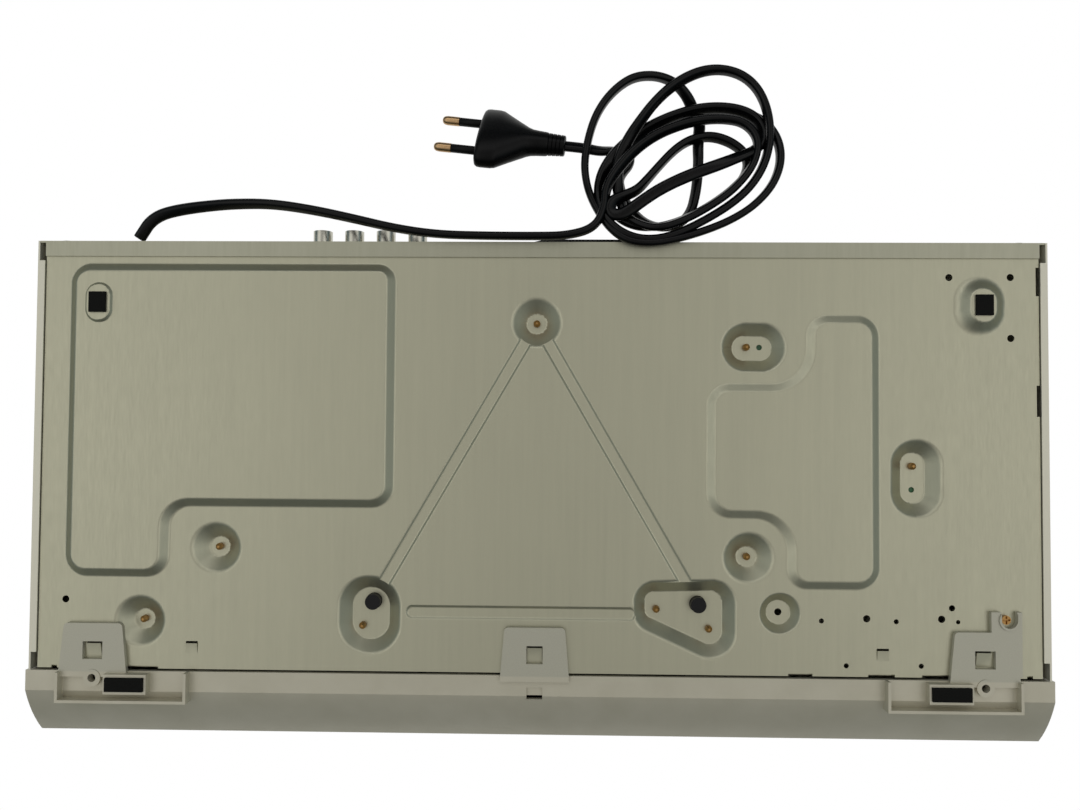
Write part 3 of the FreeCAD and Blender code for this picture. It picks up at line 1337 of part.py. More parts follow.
half_tray = d.tray_width / 2
wall_inner = half_tray + d.tray_gap
wall_outer = wall_inner + d.loader_wall
tray_top = d.tray_level + d.tray_thick
bridge_low = tray_top + d.bridge_gap
floor_top = seat + d.loader_floor
pinion_radius = d.rack_module * d.pinion_teeth / 2
wheel_radius = d.train_module * d.wheel_teeth / 2
small_radius = d.train_module * d.small_teeth / 2
pinion_x = d.rack_pitch_x - pinion_radius
pulley_x = pinion_x - wheel_radius - small_radius
lift_front_y = disc_y - d.carriage_nose - 1.2 - d.lift_thick
well_front = lift_front_y - d.lift_gap
bearing_inner = d.well_width / 2


def make_loader_frame():
    half_well = d.well_width / 2
    floor = box((-1 * wall_outer, loader_front_y, seat), (wall_outer, loader_rear_edge, floor_top))
    parts = [floor]
    for side in (-1, 1):
        inner, outer = sorted((side * wall_inner, side * wall_outer))
        parts.append(box((inner, loader_front_y, seat), (outer, loader_rear_edge, bridge_low)))
        ledge = sorted((side * (half_tray - d.runner_width + 0.4), side * wall_inner))
        parts.append(box((ledge[0], loader_front_y, d.tray_level - 2.4),
                         (ledge[1], loader_rear_edge, d.tray_level - d.tray_lift_gap)))
        lug_low = d.tray_level + d.runner_tall + d.tray_lift_gap
        for start in (loader_front_y + 2, loader_front_y + 62, loader_rear_edge - 30):
            parts.append(box((ledge[0], start, lug_low), (ledge[1], start + 8, lug_low + 1.6)))
        ear = sorted((side * wall_outer, side * (d.loader_screw_x + d.loader_ear)))
        parts.append(box((ear[0], loader_screw_y - d.loader_ear, seat),
                         (ear[1], loader_screw_y + d.loader_ear, floor_top)))
        parts.append(round_bar((side * d.post_x, post_y, plate_low + 1.2), d.post_radius,
                               floor_top - plate_low - 1.2))
        bearing = sorted((side * bearing_inner, side * (bearing_inner + 6)))
        parts.append(box((bearing[0], pivot_y - 5, seat), (bearing[1], pivot_y + 5, d.pivot_level + 5)))
    parts.append(box((-1 * wall_outer, loader_rear_edge - d.loader_wall, seat),
                     (wall_outer, loader_rear_edge, d.tray_level - 3)))
    well = box((-1 * half_well, well_front, seat - 1), (half_well, well_rear, floor_top + 1))
    holes = [well]
    holes += [round_bar((x, y, seat - 1), d.shank_radius + 0.05, 20) for x, y in loader_screws()]
    for x in (d.loader_screw_x, -1 * d.loader_screw_x):
        holes.append(round_bar((x, loader_screw_y, floor_top), d.head_radius + 0.4, bridge_low))
    low_x = -1 * (bearing_inner + 7)
    holes.append(round_bar((low_x, pivot_y, d.pivot_level), d.pivot_radius + d.bore_gap, -2 * low_x, "x"))
    pins = [
        round_bar((pinion_x, drive_y, floor_top - 0.5), d.gear_pin, d.tray_level - floor_top - 0.3),
        round_bar((pinion_x, drive_y, floor_top - 0.5), 4, d.gear_level - floor_top + 0.2),
        round_bar((pulley_x, drive_y, floor_top - 0.5), d.pulley_pin, pulley_top - floor_top + 1),
        round_bar((pulley_x, drive_y, floor_top - 0.5), 3, d.gear_level - floor_top + 0.2),
    ]
    keep(fuse([cut(fuse(parts), holes)] + pins), "loader_frame")


pulley_top = d.pulley_level + d.flange_thick * 2 + d.groove_width


def make_tray():
    front = fascia_y + d.door_thick
    low, top = d.tray_level, tray_top
    main = box((-1 * half_tray + d.runner_width, front, low), (half_tray - d.runner_width, tray_rear, top))
    runners = box((-1 * half_tray, front + 20, low), (half_tray, tray_rear, low + d.runner_tall))
    cuts = [
        round_bar((0, disc_y, top - d.disc_well_depth), d.disc_well, 10),
        round_bar((0, disc_y, top - d.disc_well_depth - d.small_well_depth), d.small_well, 10),
        round_bar((0, disc_y, low - 1), d.slot_width / 2, 20),
        box((d.slot_width * -0.5, disc_y, low - 1), (d.slot_width / 2, slot_rear, top + 1)),
    ]
    thumb = [round_bar((side * (half_tray - d.runner_width), disc_y, top - d.disc_well_depth), 9, 10)
             for side in (-1, 1)]
    plate = cut(fuse([main, runners]), cuts + thumb)
    keep(fuse([plate, rack()]), "disc_tray")
    gap = d.door_gap + 0.2
    half_opening = d.opening_width / 2 - gap
    door = body("tray_door")
    pad(door, "XZ", fascia_y, front, rectangle(
        -1 * half_opening, d.opening_low + d.door_gap,
        half_opening, d.opening_low + d.opening_height - d.door_gap))
    soften(door, 0.8, lambda edge: abs(edge.CenterOfMass.y - float(fascia_y)) < 0.01)


def toothed(radius, module, teeth, phase):
    """Outline of a gear: slim straight teeth that leave play on both flanks."""
    points = []
    pitch = 2 * math.pi / teeth
    for number in range(teeth):
        middle = phase + number * pitch
        for share, reach in ((-0.28, -1.1), (-0.1, 0.8), (0.1, 0.8), (0.28, -1.1)):
            angle = middle + share * pitch
            distance = radius + reach * module
            points.append(Vector(distance * math.cos(angle), distance * math.sin(angle), 0))
    return points


def gear(x, y, low, thickness, radius, module, teeth, phase):
    points = toothed(float(radius), float(module), int(float(teeth)), phase)
    shift = Vector(x, y, low)
    ring = [point + shift for point in points]
    return Part.Face(Part.makePolygon(ring + ring[:1])).extrude(Vector(0, 0, thickness))


def rack():
    """Straight teeth under the tray; a gap faces the pinion's first tooth."""
    module = float(d.rack_module)
    pitch = math.pi * module
    line = float(d.rack_pitch_x)
    root, back = line + 1.1 * module, line + 1.1 * module + float(d.rack_back)
    start = float(drive_y) - 2.5 * pitch
    count = int((float(tray_rear) - 0.5 - start) / pitch)
    points = []
    for number in range(count):
        middle = start + number * pitch
        for share, reach in ((-0.28, 1.1), (-0.1, -0.8), (0.1, -0.8), (0.28, 1.1)):
            points.append(Vector(line + reach * module, middle + share * pitch, 0))
    last = start + (count - 0.5) * pitch
    points += [Vector(root, last, 0), Vector(back, last, 0), Vector(back, start - 0.5 * pitch, 0)]
    points.append(Vector(root, start - 0.5 * pitch, 0))
    shift = Vector(0, 0, float(d.tray_level) - float(d.rack_thick))
    ring = [point + shift for point in points]
    item = doc.addObject("Part::Feature", "Rack")
    item.Shape = Part.Face(Part.makePolygon(ring + ring[:1])).extrude(Vector(0, 0, d.rack_thick + 0.3))
    return item


def make_bridge():
    low, top = bridge_low, bridge_low + d.bridge_thick
    half = d.bridge_width / 2
    bar = box((-1 * wall_outer, disc_y - half, low), (wall_outer, disc_y + half, top))
    ribs = [box((-1 * wall_outer + 6, disc_y + shift, top), (wall_outer - 6, disc_y + shift + 1.4, top + 1.4))
            for shift in (-1 * half, half - 1.4)]
    hole = round_bar((0, disc_y, low - 1), d.bridge_hole, 10)
    keep(cut(fuse([bar] + ribs), [hole]), "clamp_bridge")
    foot = round_bar((0, disc_y, low - d.puck_drop), d.puck_radius, d.puck_drop + d.bridge_thick + 0.3)
    flange = round_bar((0, disc_y, top + 0.3), d.puck_flange, d.puck_top)
    keep(fuse([foot, flange]), "clamp_puck")


# The tray drive: motor, belt, pulley, wheel and rack pinion

def grooved(x, core):
    """A pulley with two flanges."""
    low = d.pulley_level
    outer = core + d.groove_depth
    parts = [
        round_bar((x, drive_y, low), outer, d.flange_thick),
        round_bar((x, drive_y, low + d.flange_thick), core, d.groove_width),
        round_bar((x, drive_y, low + d.flange_thick + d.groove_width), outer, d.flange_thick),
    ]
    return parts


def gear_item(x, low, thickness, radius, module, teeth, phase):
    item = doc.addObject("Part::Feature", "Teeth")
    item.Shape = gear(x, drive_y, low, float(thickness), radius, module, teeth, phase)
    return item


def make_tray_drive():
    level, thick = d.gear_level, d.gear_thick
    wheel = gear_item(pinion_x, level, thick, wheel_radius, d.train_module, d.wheel_teeth, math.pi)
    hub_top = d.tray_level - d.rack_thick - 0.5
    hub = round_bar((pinion_x, drive_y, level), 3.6, hub_top - level)
    pinion = gear_item(pinion_x, hub_top, d.tray_level - 0.3 - hub_top, pinion_radius,
                       d.rack_module, d.pinion_teeth, 0)
    bore = round_bar((pinion_x, drive_y, level - 1), d.gear_pin + d.bore_gap, 30)
    keep(cut(fuse([wheel, hub, pinion]), [bore]), "tray_pinion")
    half_tooth = math.pi / int(float(d.small_teeth))
    small = gear_item(pulley_x, level, d.pulley_level - level + 0.1, small_radius,
                      d.train_module, d.small_teeth, half_tooth)
    bore = round_bar((pulley_x, drive_y, level - 1), d.pulley_pin + d.bore_gap, 30)
    keep(cut(fuse([small] + grooved(pulley_x, d.pulley_core)), [bore]), "pulley_gear")
    motor_top = d.pulley_level - 0.4
    can = round_bar((d.motor_x, drive_y, floor_top), d.tray_motor_radius, motor_top - floor_top)
    shaft = 1.0
    well = round_bar((d.motor_x, drive_y, floor_top + 1), shaft + d.bore_gap, 20)
    keep(cut(can, [well]), "loading_motor")
    pin = round_bar((d.motor_x, drive_y, floor_top + 1.3), shaft, pulley_top - floor_top - 1.3)
    keep(fuse(grooved(d.motor_x, d.motor_pulley_core) + [pin]), "motor_pulley")
    make_belt()


def belt_face(first_radius, second_radius, level):
    """The area inside a belt round two wheels on the drive line."""
    first, second = Vector(d.motor_x, drive_y, level), Vector(pulley_x, drive_y, level)
    distance = (second - first).Length
    lean = math.acos((first_radius - second_radius) / distance)
    points = []
    for centre, radius in ((first, first_radius), (second, second_radius)):
        for side in (1, -1):
            points.append(centre + Vector(math.cos(lean), side * math.sin(lean), 0) * radius)
    near, far = first - Vector(first_radius, 0, 0), second + Vector(second_radius, 0, 0)
    edges = [
        Part.makeLine(points[0], points[2]),
        Part.Arc(points[2], far, points[3]).toShape(),
        Part.makeLine(points[3], points[1]),
        Part.Arc(points[1], near, points[0]).toShape(),
    ]
    return Part.Face(Part.Wire(edges))


def make_belt():
    gap, side = float(d.belt_gap), float(d.belt_side)
    small, large = float(d.motor_pulley_core) + gap, float(d.pulley_core) + gap
    level = float(d.pulley_level + d.flange_thick + (d.groove_width - d.belt_side) / 2)
    ring = belt_face(small + side, large + side, level).cut(belt_face(small, large, level))
    solid_feature(ring.extrude(Vector(0, 0, side)), "drive_belt")


# The swinging carriage: drawn level, stored swung down about its pivot

def swing_down(item):
    pivot = Vector(0, pivot_y, d.pivot_level)
    item.Placement = Placement(Vector(), Rotation(Vector(1, 0, 0), float(d.tilt)), pivot)
    return item


lens_y = disc_y + d.lens_near
carriage_front = disc_y - d.carriage_nose
carriage_top = d.carriage_level + d.carriage_thick


def make_carriage():
    half = d.carriage_width / 2
    rear = pivot_y + d.carriage_tail
    plate = box((-1 * half, carriage_front, d.carriage_level), (half, rear, carriage_top))
    ears = []
    for side in (-1, 1):
        middle = side * d.rod_x
        for start in (rod_front, rod_rear - d.ear_thick):
            ears.append(box((middle - 3.5, start, carriage_top),
                            (middle + 3.5, start + d.ear_thick, d.ear_top)))
        stub = sorted((side * half, side * (bearing_inner + 5)))
        ears.append(round_bar((stub[0], pivot_y, d.pivot_level), d.pivot_radius, stub[1] - stub[0], "x"))
    ears.append(box((d.screw_x - 2.5, rod_rear - d.ear_thick, carriage_top),
                    (d.screw_x + 2.5, rod_rear, d.ear_top)))
    ears.append(box((-4, carriage_front, carriage_top), (4, carriage_front + 2.3, d.lift_pin_level + 2.3)))
    pin_front = lift_front_y + 0.4
    pin = round_bar((0, pin_front, d.lift_pin_level), d.lift_pin_radius, carriage_front - pin_front, "y")
    cuts = [
        round_bar((0, disc_y, d.carriage_level - 1), d.spindle_motor_radius + 0.2, 10),
        box((-19, disc_y + 19, d.carriage_level - 1), (19, disc_y + 67, carriage_top + 1)),
        round_bar((d.screw_x, rod_rear - 6, d.rod_level), d.journal_radius + d.bore_gap, 10, "y"),
    ]
    for side in (-1, 1):
        cuts.append(round_bar((side * d.rod_x, rod_front - 1, d.rod_level), d.rod_radius, 70, "y"))
    swing_down(keep(fuse([cut(fuse([plate] + ears), cuts), pin]), "traverse_frame"))
    rods = [round_bar((side * d.rod_x, rod_front, d.rod_level), d.rod_radius, rod_rear - rod_front, "y")
            for side in (-1, 1)]
    swing_down(keep(group(rods), "guide_rods"))
    make_spindle()
    make_sled()


def make_spindle():
    low, high = d.spindle_motor_low, d.spindle_motor_high
    can = round_bar((0, disc_y, low), d.spindle_motor_radius, high - low)
    half = d.spindle_plate / 2
    plate = box((-1 * half, disc_y - half, carriage_top), (half, disc_y + half, carriage_top + 0.8))
    bore = round_bar((0, disc_y, low + 1), d.shaft_radius + d.bore_gap, 20)
    swing_down(keep(cut(fuse([can, plate]), [bore]), "spindle_motor"))
    seat_low = d.disc_seat - d.turntable_thick
    parts = [
        round_bar((0, disc_y, low + 1.4), d.shaft_radius, seat_low - low - 1.4),
        round_bar((0, disc_y, high + 0.5), d.hub_radius, seat_low - high - 0.5),
        round_bar((0, disc_y, seat_low), d.turntable_radius, d.turntable_thick),
        cone((0, disc_y, d.disc_seat), d.cone_radius, d.cone_radius - 2.6, d.cone_rise),
    ]
    swing_down(keep(fuse(parts), "turntable"))


def make_sled():
    side = d.sled_motor_side / 2
    rear = rod_front + 4.5
    motor = box((d.screw_x - side, rear - d.sled_motor_length, carriage_top),
                (d.screw_x + side, rear, d.ear_top))
    bore = round_bar((d.screw_x, rear - 8, d.rod_level), d.lead_radius + d.bore_gap, 10, "y")
    swing_down(keep(cut(motor, [bore]), "sled_motor"))
    start = rear - 7.6
    thread_end = rod_rear - d.ear_thick - 0.6
    thread = round_bar((d.screw_x, start, d.rod_level), d.lead_radius, thread_end - start, "y")
    journal_end = rod_rear - 0.4
    journal = round_bar((d.screw_x, thread_end, d.rod_level), d.journal_radius, journal_end - thread_end, "y")
    swing_down(keep(fuse([thread, journal]), "lead_screw"))
    half = d.pickup_width / 2
    front, back = lens_y - d.pickup_ahead, lens_y + d.pickup_behind
    sled = box((-1 * half, front, d.pickup_low), (half, back, d.ear_top))
    nut = box((half, front + 6, d.pickup_low), (d.screw_x + 3.4, front + 13, d.ear_top))
    cuts = [round_bar((side_of * d.rod_x, front - 1, d.rod_level), d.rod_radius + d.bore_gap, 40, "y")
            for side_of in (-1, 1)]
    cuts.append(round_bar((d.screw_x, front - 1, d.rod_level), d.lead_radius + d.bore_gap, 40, "y"))
    swing_down(keep(cut(fuse([sled, nut]), cuts), "optical_pickup"))
    holder = round_bar((0, lens_y, d.lens_low), d.lens_radius, 0.7)
    glass = cone((0, lens_y, d.lens_low + 0.7), 2.4, 1.4, d.lens_high - d.lens_low - 0.7)
    swing_down(keep(fuse([holder, glass]), "objective_lens"))


def make_lift_slide():
    """A plate whose slanted slot raises the carriage by its pin."""
    arm = math.hypot(float(disc_y - d.carriage_nose - 3.0 - pivot_y), float(d.lift_pin_level - d.pivot_level))
    tilt = math.radians(float(d.tilt))
    across = float(pivot_y - lift_front_y - d.lift_thick / 2)
    rise = float(d.lift_pin_level - d.pivot_level)
    low_pin = float(d.pivot_level) + rise * math.cos(tilt) - across * math.sin(tilt)
    high_pin = float(d.lift_pin_level)
    radius = float(d.lift_pin_radius + d.slot_play)
    travel = float(d.lift_travel)
    start, end = Vector(0, 0, low_pin), Vector(-travel, 0, high_pin)
    front, back = float(lift_front_y), float(lift_front_y + d.lift_thick)
    rim = radius + float(d.lift_rim)
    plate = block((-travel - rim, front, low_pin - rim), (rim, back, high_pin + radius + 0.9))
    along = (end - start).normalize()
    normal = Vector(-along.z, 0, along.x) * radius
    ring = [start + normal, end + normal, end - normal, start - normal]
    ring = [point + Vector(0, front - 1, 0) for point in ring]
    band = Part.Face(Part.makePolygon(ring + ring[:1])).extrude(Vector(0, float(d.lift_thick) + 2, 0))
    ends = [rod((point.x, front - 1, point.z), radius, float(d.lift_thick) + 2, Vector(0, 1, 0))
            for point in (start, end)]
    solid_feature(plate.cut([band] + ends), "lift_slide")
    return arm


# Boards and what is soldered to them

def make_power_supply():
    low, top = seat, seat + d.board_thick
    board = box((supply_inner_x, supply_front, low), (supply_outer_x, supply_rear, top))
    holes = [round_bar((x, y, low - 1), d.shank_radius + 0.05, 10) for x, y in board_screws[:2]]
    keep(cut(board, holes), "power_supply_board")
    floor = plate_top - d.panel_depth
    posts = [round_bar((x, y, floor), 3, low - floor) for x, y in
             ((supply_outer_x - 8, supply_rear - 8), (supply_inner_x + 8, supply_rear - 8))]
    keep(group(posts), "board_standoffs")
    make_transformer(top)
    cans = [round_bar((right(33), behind_wall(59.9), top), d.big_can_radius, d.big_can_height)]
    for step in (0, 12, 24):
        cans.append(round_bar((right(89) + step, supply_rear - 20, top), d.can_radius, d.can_height))
    small = [(main_inner_x - 10, main_rear - 48 + step) for step in (0, 12)]
    cans += [round_bar((x, y, top), d.can_radius * 0.8, d.can_height * 0.7) for x, y in small]
    keep(group(cans), "capacitors")
    choke = box((right(39), supply_rear - 44, top), (right(21), supply_rear - 28, top + 18))
    film = box((right(51), supply_rear - 18, top), (right(43), supply_rear - 4, top + 14))
    fuse_tube = round_bar((right(27), supply_rear - 22, top + 4), 2.6, 20, "y")
    clips = [box((right(29.4), supply_rear - back, top), (right(24.6), supply_rear - back + 3, top + 3))
             for back in (21, 8)]
    keep(group([choke, film, fuse([fuse_tube] + clips)]), "line_filter")
    start_x, start_y = right(87), behind_wall(27.9)
    high = top + d.sink_height
    base = box((start_x, start_y, top), (start_x + d.sink_width, start_y + d.fin_thick, high))
    steps = [(d.sink_width - d.fin_thick) * share for share in (0, 0.32, 0.64, 1)]
    fins = [box((start_x + step, start_y, top), (start_x + step + d.fin_thick, start_y + 10, high))
            for step in steps]
    keep(fuse([base] + fins), "heat_sink")


def make_transformer(top):
    x, y = right(65), (supply_front + supply_rear) / 2 + 6
    half_x, half_y = d.transformer_length / 2, d.transformer_width / 2
    high = top + d.transformer_height
    core = box((x - half_x, y - half_y, top + 2), (x + half_x, y + half_y, high - 2))
    coil = box((x - half_x + 5, y - half_y - 3, top), (x + half_x - 5, y + half_y + 3, high))
    keep(fuse([core, coil]), "transformer")


def make_main_board():
    low, top = seat, seat + d.board_thick
    board = box((main_outer_x, main_front, low), (main_inner_x, main_rear, top))
    holes = [round_bar((x, y, low - 1), d.shank_radius + 0.05, 10) for x, y in board_screws[2:]]
    keep(cut(board, holes), "main_board")
    middle_x, middle_y = (main_inner_x + main_outer_x) / 2, (main_front + main_rear) / 2
    half = d.chip_side / 2
    high = top + d.chip_height
    chips = [box((middle_x - half, middle_y - half, top), (middle_x + half, middle_y + half, high))]
    for shift in (-34, 24):
        chips.append(box((middle_x - d.memory_length / 2, middle_y + shift, top),
                         (middle_x + d.memory_length / 2, middle_y + shift + d.memory_width, high)))
    chips.append(box((middle_x + 20, middle_y - 30, top), (middle_x + 32, middle_y - 14, top + 2.2)))
    chips.append(box((middle_x - 36, middle_y + 30, top), (middle_x - 14, middle_y + 36, top + 5)))
    chips.append(box((middle_x - 20, main_front + 2, top), (middle_x + 4, main_front + 7, top + 5)))
    keep(group(chips), "board_chips")
    make_harness()


def make_harness():
    """Flat cable under the rear of the loader, from the power supply to the main board."""
    low, thick = plate_top + 1.4, 0.8
    top = seat + d.board_thick
    start_x, end_x = main_inner_x + 1.0, supply_inner_x - 1.0
    start_y, wide = ahead_of_panel(52.25), 8
    run = box((start_x, start_y, low), (end_x, start_y + wide, low + thick))
    near = box((start_x, start_y, low), (start_x + thick, start_y + wide, top + 4))
    far = box((end_x - thick, start_y, low), (end_x, start_y + wide, top + 4))
    plugs = [box((main_inner_x - 5, start_y, top), (start_x + thick, start_y + wide, top + 5)),
             box((end_x - thick, start_y, top), (supply_inner_x + 5, start_y + wide, top + 5))]
    harness = fuse([run, near, far] + plugs)
    leads = [Vector(cord_x + side * 2.2, panel_inner_y - d.relief_inside, d.cord_height) for side in (-1, 1)]
    shapes = []
    for lead in leads:
        bend = Vector(lead.x, float(supply_rear) - 3, lead.z)
        foot = Vector(lead.x, float(supply_rear) - 3, float(top))
        shapes.append(rod(lead, 1.1, (bend - lead).Length, Vector(0, -1, 0)).fuse(
            [Part.makeSphere(1.1, bend), rod(foot, 1.1, bend.z - foot.z)]))
    leads_item = doc.addObject("Part::Feature", "Leads")
    leads_item.Shape = Part.Compound(shapes)
    keep(group([harness, leads_item]), "power_wiring")


# The mains cord: out of the rear panel, down to the table, along the back and into a loose coil

# share of the way to the coil, distance behind the rear panel, height above the table
cord_route = (
    (0.08, 16.0, 15.1),
    (0.12, 17.0, 12.8),
    (0.17, 16.3, 9.5),
    (0.23, 15.4, 5.9),
    (0.31, 16.2, 3.0),
    (0.41, 15.4, 2.4),
    (0.50, 10.6, 2.4),
    (0.60, 5.4, 2.4),
    (0.70, 4.0, 2.4),
    (0.80, 5.0, 2.4),
    (0.90, 5.5, 2.4),
    (1.00, 11.1, 2.4),
)


def tangent_path(points, name):
    """Straight runs joined by the largest arcs that both runs leave room for."""
    corners = []
    radii = []
    for before, here, after in zip(points, points[1:], points[2:]):
        back, ahead = before - here, after - here
        turn = math.pi - back.getAngle(ahead)
        reach = 0.45 * min(back.Length, ahead.Length)
        radius = reach / math.tan(turn / 2)
        radii.append(round(radius, 1))
        start = here + back.normalize() * reach
        end = here + ahead.normalize() * reach
        inward = (start + end) * 0.5 - here
        depth = radius / math.cos(turn / 2) - radius
        corners.append((start, here + inward.normalize() * depth, end))
    print(name, "arc radii", radii)
    edges = []
    last = points[0]
    for start, middle, end in corners:
        edges.append(Part.makeLine(last, start))
        edges.append(Part.Arc(start, middle, end).toShape())
        last = end
    edges.append(Part.makeLine(last, points[-1]))
    return Part.Wire(edges)


def tube(points, radius, name):
    path = tangent_path(points, name)
    along = (points[1] - points[0]).normalize()
    ring = Part.Wire(Part.makeCircle(float(radius), points[0], along))
    shape = path.makePipeShell([ring], True, True)
    expected = math.pi * float(radius) ** 2 * path.Length
    print(name, "length", round(path.Length, 1), "volume share", round(shape.Volume / expected, 4))
    return shape


def plug_frame():
    """Placement of the plug: rolled onto its edge, turned on the table, pins along +X."""
    turn = Rotation(Vector(0, 0, 1), float(d.plug_heading))
    turn = turn.multiply(Rotation(Vector(0, 1, 0), -1 * float(d.plug_dip)))
    turn = turn.multiply(Rotation(Vector(1, 0, 0), float(d.plug_roll)))
    half, thick = float(d.plug_width) / 2, float(d.plug_thick) / 2
    widest = (0, -0.45 * float(d.plug_body))
    corners = [Vector(x, y, z) for x in widest for y in (-half, half) for z in (-thick, thick)]
    lowest = min(turn.multVec(corner).z for corner in corners)
    return Placement(Vector(25.3, rear_y + d.plug_back, -lowest), turn)


def make_cord():
    root = Vector(cord_x, float(panel_inner_y - d.relief_inside), d.cord_height)
    bushing = rod(root, d.relief_root, d.relief_inside + d.sheet_metal, Vector(0, 1, 0))
    bend = Vector(cord_x, float(rear_y), d.cord_height)
    tip = Vector(cord_x - 5.9, rear_y + 7.35, d.cord_height - 1.7)
    lean = (tip - bend).normalize()
    collar = rod(bend, d.cord_hole + 1.0, 0.8, Vector(0, 1, 0))
    reach = (tip - bend).Length
    sleeve = Part.makeCone(float(d.relief_root), float(d.relief_tip), reach, bend, lean)
    below = block((tip.x - 40, float(panel_inner_y) - 20, 0), (tip.x + 40, float(rear_y), 40))
    ribs = []
    for number in range(3):
        share = 0.3 + 0.24 * number
        middle = bend + (tip - bend) * share
        radius = float(d.relief_root) + 0.8 - 1.3 * share
        ribs.append(rod(middle - lean * 0.6, radius, 1.2, lean))
    outside = sleeve.fuse(ribs).cut(below)
    relief = bushing.fuse([collar, outside]).removeSplitter()
    solid_feature(relief, "strain_relief")
    points = [tip, tip + lean * 6.8] + route_points()
    first = tube(points, d.cord_radius, "mains_cord")
    solid_feature(first, "mains_cord")
    frame = plug_frame()
    neck_end = frame.multVec(Vector(-(d.plug_body + d.plug_taper + d.plug_neck), 0, 0))
    along = (neck_end - frame.Base).normalize()
    coil = coil_slab()
    solid_feature(coil, "cord_coil")
    tail = rod(neck_end, d.cord_radius, 14, along).cut(coil)
    solid_feature(Part.Compound(tail.Solids[:1]), "cord_tail")
    make_plug(frame)


def route_points():
    """The cord's corners behind the player, from the strain relief to the coil."""
    whole = float(d.coil_entry - cord_x)
    start, level = float(cord_x), float(rear_y)
    return [Vector(start + share * whole, level + back, high) for share, back, high in cord_route]


coil_outline = (
    (-25.5, 12.8),
    (-20.0, 27.8),
    (-20.5, 44.8),
    (-29.0, 60.8),
    (-46.0, 71.2),
    (-62.0, 69.8),
    (-76.0, 74.2),
    (-93.0, 67.8),
    (-97.0, 51.8),
    (-103.5, 37.8),
    (-96.0, 19.8),
    (-76.0, 7.8),
    (-52.0, 4.8),
    (-36.0, 5.8),
)


def coil_slab():
    """One closed solid with the outer shape of the loose turns."""
    curve = Part.BSplineCurve()
    points = [Vector(x, float(rear_y) + back, 0) for x, back in coil_outline]
    curve.interpolate(Points=points, PeriodicFlag=True)
    face = Part.Face(Part.Wire(curve.toShape()))
    slab = face.extrude(Vector(0, 0, d.coil_height))
    before, last = route_points()[-2:]
    along = (last - before).normalize()
    return slab.cut(rod(last - along * 40, d.cord_radius, 40, along))


def make_plug(frame):
    half, thick = float(d.plug_width) / 2, float(d.plug_thick) / 2
    straight, taper, neck = float(d.plug_body), float(d.plug_taper), float(d.plug_neck)
    radius = float(d.plug_neck_radius)
    outline = [
        Vector(0, -half, -thick), Vector(0, half, -thick), Vector(-straight * 0.45, half, -thick),
        Vector(-straight - taper, radius, -thick), Vector(-straight - taper, -radius, -thick),
        Vector(-straight * 0.45, -half, -thick),
    ]
    shell = Part.Face(Part.makePolygon(outline + outline[:1])).extrude(Vector(0, 0, 2 * thick))
    wedge = []
    for side in (-1, 1):
        ring = [
            Vector(-straight * 0.45, -half - 1, side * (thick + 0.01)),
            Vector(-straight - taper - 1, -half - 1, side * (thick + 0.01)),
            Vector(-straight - taper - 1, -half - 1, side * radius),
        ]
        wedge.append(Part.Face(Part.makePolygon(ring + ring[:1])).extrude(Vector(0, 2 * half + 2, 0)))
    tail = rod((-straight - taper + 2, 0, 0), radius, neck + 2, Vector(-1, 0, 0))
    offset = float(d.pin_spacing) / 2
    holes = [rod((1, side * offset, 0), d.pin_root, 13, Vector(-1, 0, 0)) for side in (-1, 1)]
    shape = shell.cut(wedge).fuse(tail).removeSplitter().cut(holes)
    item = solid_feature(shape, "mains_plug")
    item.Placement = frame
    pins = []
    reach = float(d.pin_length) - float(d.pin_radius)
    for side in (-1, 1):
        root = rod((-12, side * offset, 0), d.pin_root, 13, Vector(1, 0, 0))
        shaft = rod((0.2, side * offset, 0), d.pin_radius, reach - 0.2, Vector(1, 0, 0))
        nose = Part.makeSphere(float(d.pin_radius), Vector(reach, side * offset, 0))
        pins.append(root.fuse([shaft, nose]).removeSplitter())
    item = solid_feature(Part.Compound(pins), "plug_pins")
    item.Placement = frame


make_bottom_chassis()
make_rear_panel()
make_top_cover()
make_front_bezel()
make_display_window()
make_buttons()
make_control_boards()
make_feet()
make_screws()
make_sockets()
make_loader_frame()
make_tray()
make_bridge()
make_tray_drive()
make_carriage()
make_lift_slide()
make_power_supply()
make_main_board()
make_cord()

doc.recompute()
for item in doc.Objects:
    if "Invalid" in item.State or "Error" in item.State:
        raise RuntimeError(item.Name + " of " + item.Label + " is " + str(item.State))
for item in pieces:
    if item.Shape.isNull() or not item.Shape.isValid() or not item.Shape.Solids:
        raise RuntimeError(item.Label + " has no valid solid")

os.makedirs("parts", exist_ok=True)
for item in pieces:
    item.Shape.exportStep("parts/" + item.Label + ".step")
    box_of = item.Shape.BoundBox
    print(item.Label, len(item.Shape.Solids), "solids", round(item.Shape.Volume), "mm3")
print(len(pieces), "pieces")
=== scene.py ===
# %% [markdown]
# # A disc player photographed from below
#
# The part comes in as a fixed frame in metres: feet on z = 0, front towards -Y, +X to the right seen
# from the front. The photograph looks straight at the underside, so the camera stands under the floor
# plate and the top of the picture is the rear of the player. The camera and the mains lead come first,
# because everything in the picture is judged against them. The bush, the plug and its pins follow, then
# the finishes, the floor plate, and last the light.

import math

import bpy
from mathutils import Matrix, Vector


